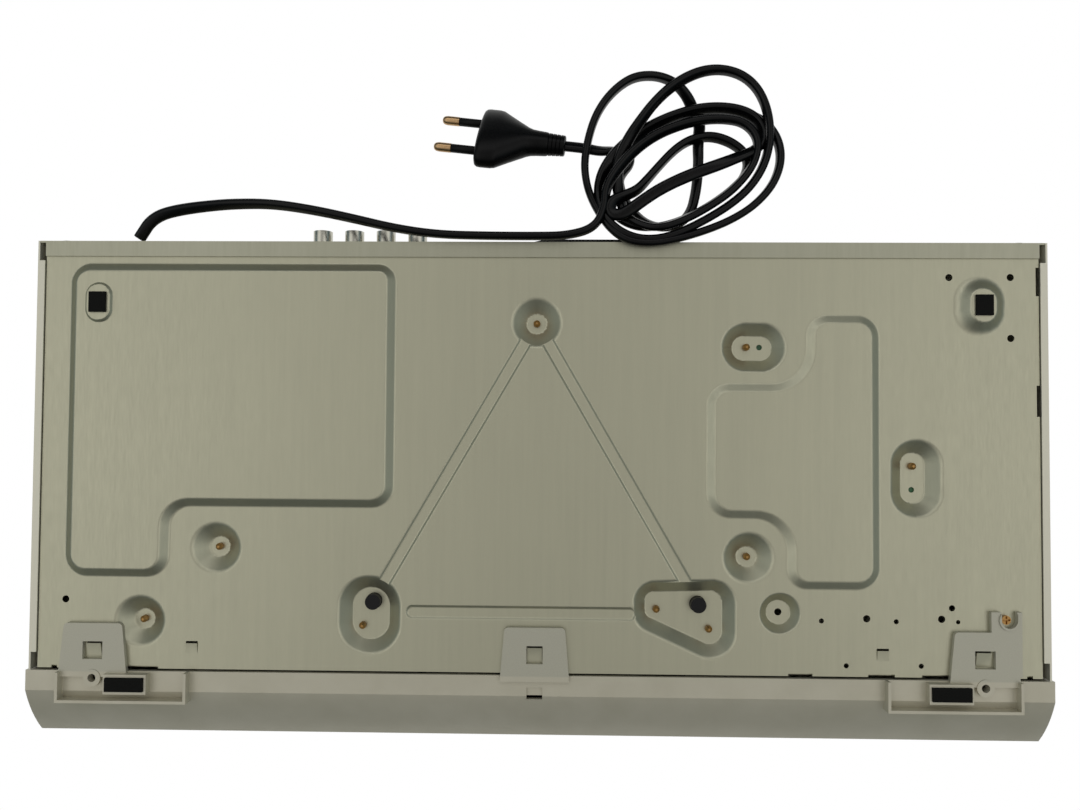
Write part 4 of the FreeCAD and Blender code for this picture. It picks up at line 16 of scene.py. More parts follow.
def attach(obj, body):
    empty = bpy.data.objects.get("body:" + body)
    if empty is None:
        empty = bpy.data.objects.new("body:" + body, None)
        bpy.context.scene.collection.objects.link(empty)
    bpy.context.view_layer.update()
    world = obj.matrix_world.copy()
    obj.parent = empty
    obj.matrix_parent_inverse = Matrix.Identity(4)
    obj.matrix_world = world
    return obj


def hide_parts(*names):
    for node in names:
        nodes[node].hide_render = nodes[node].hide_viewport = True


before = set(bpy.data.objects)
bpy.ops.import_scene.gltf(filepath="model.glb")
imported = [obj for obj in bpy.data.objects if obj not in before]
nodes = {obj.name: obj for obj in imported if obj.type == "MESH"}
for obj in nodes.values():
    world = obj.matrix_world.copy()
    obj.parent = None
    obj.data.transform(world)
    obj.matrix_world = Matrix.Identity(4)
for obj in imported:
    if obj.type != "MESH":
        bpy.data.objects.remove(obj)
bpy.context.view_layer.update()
scene = bpy.context.scene


def mm(*values):
    """A point or a length given in millimetres, in metres."""
    return Vector([value / 1000 for value in values])


# %% [markdown]
# ## Camera
#
# The lens and the place come from a fit of the known features: the ends of the case, the jacks, the
# plug's pins and the holes of the floor plate. It is a 28.9 mm lens on a 36 mm frame, 360 mm under the
# plane of the feet. The three directions are the picture's right, its top and the way the camera looks,
# and a camera looks along its own -Z, so the third goes in reversed.

# %% Camera
right = Vector((-0.99980, 0.00652, 0.01911))
up = Vector((0.00595, 0.99955, -0.02953))
ahead = Vector((0.01929, 0.02941, 0.99938))
bpy.ops.object.camera_add()
camera = bpy.context.object
camera.name = "photo_camera"
facing = Matrix((right, up, -ahead)).transposed().to_4x4()
camera.matrix_world = Matrix.Translation(mm(-8.633, 21.452, -360.251)) @ facing
camera.data.lens = 28.9
camera.data.sensor_width = 36
camera.data.sensor_fit = "HORIZONTAL"
camera.data.clip_start = 0.01
scene.camera = camera
print("camera", [round(value, 3) for value in camera.location])

# %% [markdown]
# ## Route of the mains lead
#
# One flexible flat lead, from the strain relief along the rear edge into the loose coil and out to the
# plug. A lead could be swept along straight runs with rounded corners, but that looks like bent wire.
# So it is a single smooth spline, and the points below only pull it. They were chosen one by one over
# the photograph, about 25 to a turn. Where turns cross, the later one rides over the earlier one and
# comes down again, so nothing hangs in the air. Each row is x, y, height and twist, in millimetres and
# degrees: a twist of 90 stands the flat lead on its edge, and 0 lays it flat.

# %% Route
cord_points = (
    (177.0, 105.6, 19.00, 20),
    (175.0, 108.2, 18.40, 20),
    (171.6, 112.4, 17.20, 20),
    (165.5, 115.4, 15.20, 30),
    (156.0, 116.8, 12.60, 40),
    (144.0, 117.4, 9.20, 50),
    (130.5, 117.6, 5.80, 60),
    (113.0, 117.0, 3.20, 70),
    (95.0, 114.2, 2.60, 75),
    (78.0, 110.6, 2.60, 80),
    (60.0, 106.4, 2.60, 85),
    (42.0, 103.9, 2.65, 90),
    (22.0, 103.4, 2.65, 90),
    (2.0, 103.3, 2.65, 90),
    (-13.0, 103.5, 2.65, 88),
    (-24.5, 107.0, 2.65, 85),
    (-28.5, 116.0, 2.65, 75),
    (-28.8, 123.8, 2.51, 60),
    (-33.9, 132.2, 2.40, 50),
    (-41.6, 140.7, 2.40, 50),
    (-50.6, 146.9, 2.51, 60),
    (-60.9, 150.9, 2.62, 70),
    (-69.9, 152.9, 2.70, 80),
    (-78.9, 153.2, 2.70, 80),
    (-86.9, 151.6, 2.71, 85),
    (-92.1, 146.0, 2.72, 90),
    (-92.5, 138.9, 2.72, 90),
    (-89.2, 131.1, 2.70, 80),
    (-81.5, 122.6, 2.62, 70),
    (-70.9, 115.2, 2.62, 70),
    (-60.2, 109.6, 2.62, 70),
    (-50.7, 106.7, 2.80, 80),
    (-42.9, 108.8, 4.60, 80),
    (-37.6, 113.3, 6.40, 60),
    (-35.1, 119.2, 7.00, 40),
    (-33.9, 126.3, 6.60, 20),
    (-33.7, 132.1, 6.20, 10),
    (-35.1, 138.5, 5.60, 10),
    (-38.8, 145.9, 4.20, 30),
    (-42.9, 151.9, 2.80, 50),
    (-48.7, 159.7, 2.60, 60),
    (-55.7, 166.5, 2.60, 60),
    (-63.5, 171.4, 2.60, 60),
    (-71.2, 174.0, 2.62, 70),
    (-78.9, 174.1, 2.70, 80),
    (-86.0, 171.8, 2.71, 85),
    (-91.8, 166.9, 2.71, 85),
    (-95.6, 159.7, 2.71, 85),
    (-97.5, 151.2, 2.71, 85),
    (-97.4, 142.1, 2.71, 85),
    (-94.9, 133.0, 2.70, 80),
    (-89.8, 124.6, 2.70, 80),
    (-82.1, 117.5, 2.67, 75),
    (-71.9, 111.0, 2.67, 75),
    (-61.0, 105.4, 2.67, 75),
    (-50.7, 102.2, 2.70, 80),
    (-41.1, 102.5, 2.71, 85),
    (-32.8, 106.7, 2.80, 85),
    (-27.7, 114.0, 4.60, 60),
    (-25.8, 122.5, 7.00, 40),
    (-27.1, 130.4, 7.00, 30),
    (-31.6, 138.5, 7.60, 10),
    (-38.9, 146.0, 8.40, 10),
    (-47.9, 151.7, 7.60, 40),
    (-57.6, 156.1, 7.00, 60),
    (-68.0, 159.0, 6.80, 60),
    (-78.4, 159.6, 6.80, 60),
    (-87.5, 158.0, 6.80, 60),
    (-93.9, 153.9, 6.60, 60),
    (-96.1, 147.2, 6.00, 50),
    (-92.7, 140.6, 4.00, 40),
    (-85.9, 137.4, 2.20, 40),
    (-76.8, 133.7, 1.80, 10),
    (-67.2, 130.3, 1.80, 0),
    (-58.8, 126.8, 1.80, 0),
    (-51.2, 122.9, 1.80, 0),
    (-45.6, 119.2, 1.80, 0),
    (-40.7, 115.6, 1.90, 0),
    (-36.0, 112.5, 2.00, 5),
    (-32.0, 112.2, 2.20, 10),
    (-30.3, 115.3, 2.50, 20),
    (-31.8, 118.6, 3.00, 35),
    (-36.5, 120.6, 3.60, 50),
    (-42.3, 123.3, 4.60, 60),
    (-46.8, 128.6, 5.80, 75),
    (-52.0, 134.8, 6.80, 80),
    (-57.3, 140.5, 6.80, 80),
    (-62.6, 144.5, 6.80, 80),
    (-67.9, 146.5, 6.80, 75),
    (-73.3, 147.1, 7.00, 70),
    (-78.6, 146.0, 7.00, 70),
    (-83.9, 143.5, 7.20, 75),
    (-88.3, 139.7, 7.40, 80),
    (-89.5, 134.5, 7.60, 80),
    (-87.0, 128.6, 7.60, 80),
    (-81.5, 123.0, 7.60, 80),
    (-73.7, 117.6, 7.60, 80),
    (-64.3, 112.7, 7.60, 80),
    (-54.6, 109.1, 7.60, 80),
    (-45.1, 107.8, 7.40, 80),
    (-37.0, 110.1, 7.40, 80),
    (-30.8, 115.4, 7.80, 80),
    (-27.8, 122.2, 8.60, 70),
    (-28.9, 129.1, 9.60, 40),
    (-32.5, 136.3, 11.20, 10),
    (-39.1, 143.0, 11.40, 10),
    (-48.3, 149.9, 11.00, 30),
    (-58.1, 154.7, 10.60, 50),
    (-67.3, 157.7, 10.60, 50),
    (-77.8, 159.0, 10.40, 60),
    (-87.5, 158.0, 9.60, 60),
    (-95.5, 154.4, 7.80, 70),
    (-100.0, 147.8, 5.00, 80),
    (-102.1, 140.3, 3.00, 85),
    (-101.7, 132.4, 2.71, 85),
    (-98.1, 124.0, 2.71, 85),
    (-90.5, 115.9, 2.71, 85),
    (-80.9, 110.0, 2.71, 85),
    (-70.6, 105.8, 2.71, 85),
    (-59.7, 102.5, 2.71, 85),
    (-48.8, 100.4, 2.71, 85),
    (-38.6, 101.2, 2.71, 85),
    (-31.5, 105.9, 3.40, 85),
    (-26.4, 113.3, 5.80, 85),
    (-22.5, 121.0, 6.60, 85),
    (-20.3, 127.3, 3.40, 85),
    (-19.7, 134.9, 2.71, 85),
    (-21.1, 144.1, 2.71, 85),
    (-23.8, 153.2, 2.71, 85),
    (-28.0, 160.7, 2.71, 85),
    (-33.8, 166.9, 2.71, 85),
    (-40.2, 170.9, 2.71, 85),
    (-47.4, 171.9, 3.00, 85),
    (-54.0, 171.3, 4.60, 85),
    (-59.8, 168.7, 6.40, 70),
    (-64.0, 164.6, 8.60, 50),
    (-67.0, 159.9, 12.00, 30),
    (-70.1, 154.5, 13.60, 20),
    (-69.0, 148.2, 11.00, 40),
    (-68.4, 142.7, 8.40, 50),
    (-68.4, 137.2, 7.60, 60),
    (-68.2, 132.0, 8.00, 60),
    (-67.9, 126.9, 8.60, 60),
    (-67.2, 121.9, 9.40, 60),
    (-66.0, 116.7, 10.00, 60),
    (-63.1, 112.1, 10.20, 60),
    (-57.8, 109.2, 10.20, 60),
    (-51.6, 108.8, 10.20, 60),
    (-45.4, 111.1, 10.20, 60),
    (-40.1, 116.1, 10.40, 50),
    (-36.5, 122.2, 11.00, 50),
    (-35.2, 128.0, 12.40, 60),
    (-35.5, 131.2, 13.30, 70),
    (-37.4, 134.1, 13.80, 80),
    (-39.5, 136.3, 13.80, 85),
    (-40.5, 139.5, 13.80, 85),
    (-39.2, 142.0, 13.80, 85),
    (-36.1, 143.2, 13.80, 80),
    (-32.0, 143.3, 13.70, 60),
    (-27.0, 142.8, 13.60, 40),
    (-20.3, 144.2, 13.52, 34),
    (-11.4, 145.3, 13.99, 34),
    (-5.4, 146.0, 14.31, 34),
)
print("route", len(cord_points), "points")

# %% [markdown]
# ## Skin of the lead
#
# The sheath is 5.2 by 3.2 mm: two straight sides and two round ends. That outline is drawn once as a
# closed curve and bevels the route. The route is first read as a bare centre line without it, and that
# mesh is dropped at once. The bevelled curve is then made a mesh, and both curves go away.

# %% Curves
LEAD_WIDTH, LEAD_HEIGHT = 0.0052, 0.0032


def curve_item(name, kind, points):
    """A curve object with one spline through points of x, y and z."""
    data = bpy.data.curves.new(name, "CURVE")
    data.dimensions = "3D"
    line = data.splines.new(kind)
    line.points.add(len(points) - 1)
    for point, place in zip(line.points, points):
        point.co = (*place, 1)
    item = bpy.data.objects.new(name, data)
    scene.collection.objects.link(item)
    return item, line


# %% Outline of the sheath
end_radius, end_steps = LEAD_HEIGHT / 2, 8
flat_half = LEAD_WIDTH / 2 - end_radius
outline = []
for side in (1, -1):
    for step in range(end_steps + 1):
        turn = math.radians(-90 + 180 * step / end_steps)
        from_middle = flat_half + end_radius * math.cos(turn)
        outline.append((side * from_middle, side * end_radius * math.sin(turn), 0))
section, line = curve_item("flat_lead_section", "POLY", outline)
line.use_cyclic_u = True

# %% Centre line
route, line = curve_item("lead_route", "NURBS", [mm(*row[:3]) for row in cord_points])
for point, row in zip(line.points, cord_points):
    point.tilt = math.radians(row[3])
line.order_u = 3
line.use_endpoint_u = True
line.use_smooth = True
route.data.twist_mode = "Z_UP"
route.data.resolution_u = 8
bare = bpy.data.meshes.new_from_object(route)
bpy.data.meshes.remove(bare)

# %% Lead
route.data.bevel_mode = "OBJECT"
route.data.bevel_object = section
route.data.use_fill_caps = True
bpy.context.view_layer.update()
skin = bpy.data.meshes.new_from_object(route.evaluated_get(bpy.context.evaluated_depsgraph_get()))
skin.name = "mains_lead"
mains_lead = bpy.data.objects.new("mains_lead", skin)
scene.collection.objects.link(mains_lead)
for spare in (route, section):
    bpy.data.objects.remove(spare)
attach(mains_lead, "case")
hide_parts("mains_cord", "cord_coil", "cord_tail")

# %% [markdown]
# ## Strain relief
#
# A mains lead leaves a metal wall through a moulded bush: a collar that grips the hole, and behind it a
# sleeve of rings that bends with the lead. It could be one curve with a profile. Here an outline is
# drawn once and then extruded and scaled from station to station, as by hand, which gives each ring its
# own crisp step. The bush bends where it leaves the wall, so the collar and the sleeve are two such
# bodies joined. The plug and its pins are made with the same function.

# %% Extruding an outline
ROUND = 0


def smooth(item, angle):
    """Smooth shading, with the edges sharper than the angle kept hard."""
    bpy.ops.object.select_all(action="DESELECT")
    bpy.context.view_layer.objects.active = item
    item.select_set(True)
    bpy.ops.object.shade_smooth_by_angle(angle=math.radians(angle))
    item.select_set(False)


def extruded(name, corner, stations, origin, across, over, sharp=40):
    """One outline, extruded and scaled from station to station, then set in its place.

    The outline is round, or a square whose corners are rounded by a share of its half width. A
    station is the distance along the piece and the half width and half height there, all in
    millimetres."""
    bpy.ops.object.select_all(action="DESELECT")
    if corner == ROUND:
        bpy.ops.mesh.primitive_circle_add(vertices=40, radius=1, fill_type="NGON")
    else:
        bpy.ops.mesh.primitive_plane_add(size=2)
    item = bpy.context.object
    item.name = name
    bpy.ops.object.mode_set(mode="EDIT")
    bpy.ops.mesh.select_all(action="SELECT")
    if corner != ROUND:
        bpy.ops.mesh.bevel(offset=corner, segments=12, affect="VERTICES")
    along, wide, high = stations[0]
    bpy.ops.transform.resize(value=(wide / 1000, high / 1000, 1))
    bpy.ops.transform.translate(value=(0, 0, along / 1000))
    for before, after in zip(stations, stations[1:]):
        step = (0, 0, (after[0] - before[0]) / 1000)
        bpy.ops.mesh.extrude_region_move(TRANSFORM_OT_translate={"value": step})
        bpy.ops.transform.resize(value=(after[1] / before[1], after[2] / before[2], 1))
    bpy.ops.mesh.select_all(action="SELECT")
    bpy.ops.mesh.normals_make_consistent(inside=False)
    bpy.ops.object.mode_set(mode="OBJECT")
    facing = Matrix((across, over, across.cross(over))).transposed().to_4x4()
    item.matrix_world = Matrix.Translation(origin) @ facing
    bpy.ops.object.transform_apply(location=True, rotation=True, scale=True)
    smooth(item, sharp)
    return item


def joined(name, items):
    """One object out of several."""
    bpy.ops.object.select_all(action="DESELECT")
    for item in items:
        item.select_set(True)
    bpy.context.view_layer.objects.active = items[0]
    bpy.ops.object.join()
    bpy.context.object.name = name
    return bpy.context.object


# %% Collar of the bush
bend = mm(180.5, 101.25, 20)
lead_exit = mm(174.6, 108.6, 18.3)
lean = (lead_exit - bend).normalized()
collar_side = Vector((0, 0, 1))
collar = extruded("bush_collar", ROUND, [(along, radius, radius) for along, radius in (
    (-8.8, 4.2), (-8.6, 4.4), (-0.1, 4.4), (0.0, 5.4), (0.2, 5.6), (0.9, 5.6), (1.15, 5.3))],
    bend, collar_side, Vector((1, 0, 0)))

# %% Sleeve of the bush
SLEEVE_FLATNESS = 0.86
sleeve_side = lean.cross(collar_side).normalized()
sleeve_profile = (
    (0.4, 3.8), (3.0, 3.9), (3.1, 4.6), (3.3, 4.75), (4.1, 4.75), (4.3, 4.6), (4.4, 3.6), (5.2, 3.5),
    (5.3, 4.2), (5.5, 4.35), (6.2, 4.35), (6.4, 4.2), (6.5, 3.3), (7.2, 3.2), (7.3, 3.8), (7.5, 3.95),
    (8.2, 3.95), (8.4, 3.8), (8.5, 3.1), (9.3, 3.0), (9.5, 2.8))
sleeve_stations = [(along, radius, radius * SLEEVE_FLATNESS) for along, radius in sleeve_profile]
sleeve = extruded("bush_sleeve", ROUND, sleeve_stations, bend, sleeve_side.cross(lean),
                  sleeve_side * -1)
relief = joined("lead_strain_relief", [collar, sleeve])
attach(relief, "case")
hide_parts("strain_relief")
print("strain relief", len(relief.data.vertices), "points")

# %% [markdown]
# ## Plug
#
# A flat moulded plug: a rounded front, a grip that narrows towards the lead, ribs across its two broad
# sides, a neck, and rings that let the lead bend. The body is one extruded outline. The ribs are the
# bands of its broad sides, picked by their place and pushed outwards together, so they end where a
# thumb would.

# %% Place of the plug
turned = Matrix.Rotation(math.radians(7), 3, "Z") @ Matrix.Rotation(math.radians(-3), 3, "Y")
turned = turned @ Matrix.Rotation(math.radians(34), 3, "X")
pins_way, plug_across, plug_over = turned.transposed()
plug_face = mm(25.3, 149.8, 15.93)

# %% Front and grip
rib_pitch, rib_width, rib_rise, rib_margin = 1.55, 0.75, 0.42, 4.6
grip_width, grip_start, grip_taper = 16.5, 8.0, 0.8
rib_starts = [7.4 + rib_pitch * number for number in range(8)]
body_stations = [(0.0, 15.4, 5.3), (-0.3, 16.3, 6.0), (-1.0, 16.8, 6.4), (-2.2, 16.9, 6.6),
                 (-6.6, 16.8, 6.65)]
for start in rib_starts:
    for along in (start, start + rib_width):
        narrowed = max(0.0, along - grip_start)
        body_stations.append((-along, grip_width - narrowed * grip_taper, 6.6 - narrowed * 0.11))

# %% Neck and rings
body_stations += [(-20.6, 6.4, 5.1), (-22.6, 5.4, 4.8), (-25.5, 4.9, 4.6), (-29.0, 4.6, 4.4)]
for number in range(4):
    start, wide = -29.6 - 1.7 * number, 4.35 - 0.1 * number
    narrow = wide - 0.55
    body_stations += [(start, wide, wide - 0.1), (start - 0.15, narrow, narrow - 0.05),
                      (start - 0.7, narrow, narrow - 0.05), (start - 0.85, wide, wide - 0.1)]
body_stations += [(-36.7, 3.95, 3.8), (-36.9, 3.7, 3.5)]
plug = extruded("moulded_plug", 0.9, body_stations, plug_face, plug_across, plug_over, 38)

# %% Ribs of the plug
bpy.ops.object.select_all(action="DESELECT")
plug.select_set(True)
bpy.context.view_layer.objects.active = plug
for polygon in plug.data.polygons:
    middle = polygon.center - plug_face
    along, sideways = -1000 * middle.dot(pins_way), abs(1000 * middle.dot(plug_across))
    band = any(start < along < start + rib_width for start in rib_starts)
    grip_edge = grip_width - (along - grip_start) * grip_taper
    polygon.select = band and sideways < grip_edge - rib_margin
print("faces pushed out as ribs", sum(polygon.select for polygon in plug.data.polygons))
bpy.ops.object.mode_set(mode="EDIT")
bpy.ops.mesh.select_mode(type="FACE")
bpy.ops.mesh.extrude_region_shrink_fatten(TRANSFORM_OT_shrink_fatten={"value": rib_rise / 1000})
bpy.ops.object.mode_set(mode="OBJECT")
smooth(plug, 38)
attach(plug, "case")
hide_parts("mains_plug")

# %% [markdown]
# ## Pins
#
# Two round pins, 18.6 mm apart, each with a black sleeve next to the plug and a bare metal tip. One pin
# is extruded from a circle and its twin is made the same way beside it, so the two share one object.

# %% Pins
PIN_SPACING, SLEEVE_END = 0.0186, 0.0113
pin_stations = [(along, radius, radius) for along, radius in (
    (-12, 1.6), (-0.2, 1.7), (0.1, 1.85), (11.2, 1.85), (11.35, 1.7), (11.4, 1.98), (16.6, 2.0),
    (17.8, 1.8), (18.5, 1.4), (18.85, 0.9), (19.0, 0.3))]
both_pins = []
for side in (-1, 1):
    foot = plug_face + plug_across * side * PIN_SPACING / 2
    both_pins.append(extruded("plug_pin", ROUND, pin_stations, foot, plug_across, plug_over, 50))
pins = joined("sleeved_pins", both_pins)
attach(pins, "case")
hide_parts("plug_pins")
for item in (plug, pins):
    print(item.name, [round(side * 1000, 1) for side in item.dimensions], "mm")

# %% [markdown]

# %% [markdown]
# ## Finishes
#
# Every finish starts from what the surface really is. Its grain has a size in real millimetres in
# object coordinates: the colour wanders a little between two tones, the roughness follows it, and a
# shallow bump breaks the reflections. Colours are written as sRGB hex and turned to linear in one
# place, and one function adds a node with its settings and links.

# %% Colour and nodes


def rgb(text):
    """Linear colour of an sRGB hex text."""
    linear = []
    for start in (0, 2, 4):
        part = int(text[start:start + 2], 16) / 255
        linear.append(part / 12.92 if part <= 0.04045 else ((part + 0.055) / 1.055) ** 2.4)
    return (*linear, 1.0)


def node(tree, kind, sockets=(), **settings):
    """Add a node with its settings; each socket, by place or by name, gets a value or a link."""
    made = tree.nodes.new(kind)
    for name, value in settings.items():
        setattr(made, name, value)
    for name, value in (sockets.items() if isinstance(sockets, dict) else enumerate(sockets)):
        if isinstance(value, bpy.types.NodeSocket):
            tree.links.new(value, made.inputs[name])
        else:
            made.inputs[name].default_value = value
    return made.outputs


def grain(tree, size, stretch=(1, 1, 1), detail=3.0):
    """Noise with lumps about size millimetres across, drawn out along an axis whose share is small."""
    place = node(tree, "ShaderNodeTexCoord")["Object"]
    scale = [1000 / size * share for share in stretch]
    scaled = node(tree, "ShaderNodeMapping", {"Vector": place, "Scale": scale})["Vector"]
    return node(tree, "ShaderNodeTexNoise", {
        "Vector": scaled, "Scale": 1.0, "Detail": detail, "Roughness": 0.55})["Fac"]


def started(name, rough, metal, specular=0.5):
    """A new material, its node tree and its shader."""
    material = bpy.data.materials.new(name)
    material.use_nodes = True
    shader = material.node_tree.nodes["Principled BSDF"]
    shader.inputs["Roughness"].default_value = rough
    shader.inputs["Metallic"].default_value = metal
    shader.inputs["Specular IOR Level"].default_value = specular
    return material, material.node_tree, shader


def two_tone(name, dark, light, rough, metal, size, height, stretch=(1, 1, 1), spread=0.08,
             specular=0.5):
    """A moulded, painted or plated finish: two close tones, a matching roughness and a fine skin."""
    material, tree, shader = started(name, rough, metal, specular)
    lumps = grain(tree, size, stretch)
    share = node(tree, "ShaderNodeMapRange", (lumps, 0.3, 0.7))["Result"]
    colour = node(
        tree, "ShaderNodeMix", {0: share, 6: rgb(dark), 7: rgb(light)}, data_type="RGBA")[2]
    smoothest = max(0.05, rough - spread)
    gloss = node(tree, "ShaderNodeMapRange", (share, 0.0, 1.0, smoothest, rough + spread))["Result"]
    tree.links.new(colour, shader.inputs["Base Color"])
    tree.links.new(gloss, shader.inputs["Roughness"])
    if height:
        skin = node(tree, "ShaderNodeBump", {"Height": lumps, "Distance": height / 1000})["Normal"]
        tree.links.new(skin, shader.inputs["Normal"])
    return material


# %% [markdown]
# ## Galvanised sheet
#
# The floor plate and the rear panel are rolled steel with a thin zinc skin. Rolling leaves fine streaks
# across the player, here 0.35 and 2.2 mm wide, and the zinc clouds softly over some 20 mm. It is a
# metal, so the colour is that of its reflections, and the roughness of about 0.4 blurs them to a satin
# sheen.

# %% Galvanised sheet


def zinc_sheet(name, dark, light):
    material, tree, shader = started(name, 0.4, 0.9)
    fine = grain(tree, 0.35, (1, 0.05, 1), 2.0)
    streak = node(tree, "ShaderNodeMapRange", (grain(tree, 2.2, (1, 0.035, 1)), 0.2, 0.8))["Result"]
    clouds = grain(tree, 22, (1, 0.6, 1), 4.0)
    cloud = node(tree, "ShaderNodeMapRange", (clouds, 0.35, 0.75, 0.0, 0.5))["Result"]
    rolled = node(
        tree, "ShaderNodeMix", {0: streak, 6: rgb(dark), 7: rgb(light)}, data_type="RGBA")[2]
    clouded = node(tree, "ShaderNodeMix", {0: cloud, 6: rolled, 7: rgb(light)}, data_type="RGBA")[2]
    gloss = node(tree, "ShaderNodeMapRange", (fine, 0.3, 0.7, 0.36, 0.46))["Result"]
    skin = node(tree, "ShaderNodeBump", {"Height": fine, "Distance": 0.000003})["Normal"]
    for source, target in ((clouded, "Base Color"), (gloss, "Roughness"), (skin, "Normal")):
        tree.links.new(source, shader.inputs[target])
    return material


floor_zinc = zinc_sheet("galvanised_floor", "B4B29D", "BAB8A2")
panel_zinc = zinc_sheet("galvanised_panel", "A9A895", "B2B19F")

# %% [markdown]
# ## Silver front moulding
#
# The front is a plastic moulding sprayed with silver lacquer: partly metallic, with a fine skin. The
# strip under the front has soft patches some 18 mm across, and its tabs are a little greyer. The two
# are told apart by their place.

# %% Silver front moulding
front_silver, tree, shader = started("satin_silver_front", 0.45, 0.35)
fine = grain(tree, 0.45)
patch = node(tree, "ShaderNodeMapRange", (grain(tree, 18), 0.3, 0.7))["Result"]
fleck = node(tree, "ShaderNodeMapRange", (fine, 0.3, 0.7))["Result"]
place = node(tree, "ShaderNodeSeparateXYZ", (node(tree, "ShaderNodeTexCoord")["Object"],))
strip = node(
    tree, "ShaderNodeMix", {0: patch, 6: rgb("C0BBA8"), 7: rgb("C8C3B1")}, data_type="RGBA")[2]
tab = node(
    tree, "ShaderNodeMix", {0: fleck, 6: rgb("B4B1A1"), 7: rgb("BCBAAA")}, data_type="RGBA")[2]
is_tab = node(tree, "ShaderNodeMapRange", (place["Y"], -0.0812, -0.0806))["Result"]
outside = node(tree, "ShaderNodeMix", {0: is_tab, 6: strip, 7: tab}, data_type="RGBA")[2]
gloss = node(tree, "ShaderNodeMapRange", (fine, 0.3, 0.7, 0.38, 0.52))["Result"]
skin = node(tree, "ShaderNodeBump", {"Height": fine, "Distance": 0.000012})["Normal"]
for source, target in ((outside, "Base Color"), (gloss, "Roughness"), (skin, "Normal")):
    tree.links.new(source, shader.inputs[target])

# %% [markdown]
# ## Lead, plug, pads and cover
#
# The lead, the plug and the bush are soft plastic, black right through. They give back little light, so
# their specular level is low, and the lead is smoother than the moulded plug. The pads are dark felt,
# rough and matt. The cover is steel with a satin silver lacquer, whose fine metal flakes make it partly
# metallic.

# %% Lead, plug, pads and cover
lead_skin = two_tone("black_lead_sheath", "020203", "060607", 0.24, 0.0, 0.7, 0.012, specular=0.2)
plug_skin = two_tone("black_moulded_plug", "020203", "070708", 0.34, 0.0, 0.35, 0.01, specular=0.14)
pin_sleeve = two_tone("black_pin_sleeve", "050506", "0B0B0C", 0.4, 0.0, 0.4, 0.01, specular=0.14)
pad_felt = two_tone("dark_felt_pad", "0D0D0C", "1A1A18", 0.9, 0.0, 0.6, 0.08, specular=0.14)
cover_paint = two_tone("satin_silver_cover", "D4D1C0", "DCD9C9", 0.42, 0.6, 0.5, 0.01)

# %% [markdown]
# ## Screws
#
# The cover and the rear panel are held by zinc-plated screws, and the boards by yellow ones. One screw
# of the cover group, in the ear behind the front moulding, is yellow too, and is told apart by its
# place.

# %% Screws
brass_screw = two_tone("yellow_plated_screw", "957244", "B48D58", 0.34, 1.0, 0.3, 0.01)
zinc_screw = two_tone("bright_zinc_screw", "A3A39C", "BDBDB6", 0.3, 1.0, 0.3, 0.01)
cover_screw, tree, shader = started("cover_screw", 0.32, 1.0)
fine = grain(tree, 0.3)
fleck = node(tree, "ShaderNodeMapRange", (fine, 0.3, 0.7))["Result"]
zinc = node(
    tree, "ShaderNodeMix", {0: fleck, 6: rgb("A3A39C"), 7: rgb("BDBDB6")}, data_type="RGBA")[2]
yellow = node(
    tree, "ShaderNodeMix", {0: fleck, 6: rgb("957244"), 7: rgb("B48D58")}, data_type="RGBA")[2]
place = node(tree, "ShaderNodeSeparateXYZ", (node(tree, "ShaderNodeTexCoord")["Object"],))
beside = node(tree, "ShaderNodeMapRange", (place["X"], -0.1805, -0.1795, 1.0, 0.0))["Result"]
beneath = node(tree, "ShaderNodeMapRange", (place["Z"], 0.0085, 0.0095, 1.0, 0.0))["Result"]
in_ear = node(tree, "ShaderNodeMath", (beside, beneath), operation="MULTIPLY")[0]
colour = node(tree, "ShaderNodeMix", {0: in_ear, 6: zinc, 7: yellow}, data_type="RGBA")[2]
skin = node(tree, "ShaderNodeBump", {"Height": fine, "Distance": 0.00001})["Normal"]
tree.links.new(colour, shader.inputs["Base Color"])
tree.links.new(skin, shader.inputs["Normal"])

# %% [markdown]
# ## Everything else
#
# The other finishes differ only in their tones, their gloss, how metallic they are and the size of
# their grain, so they are rows of one table, each with the nodes that wear it.

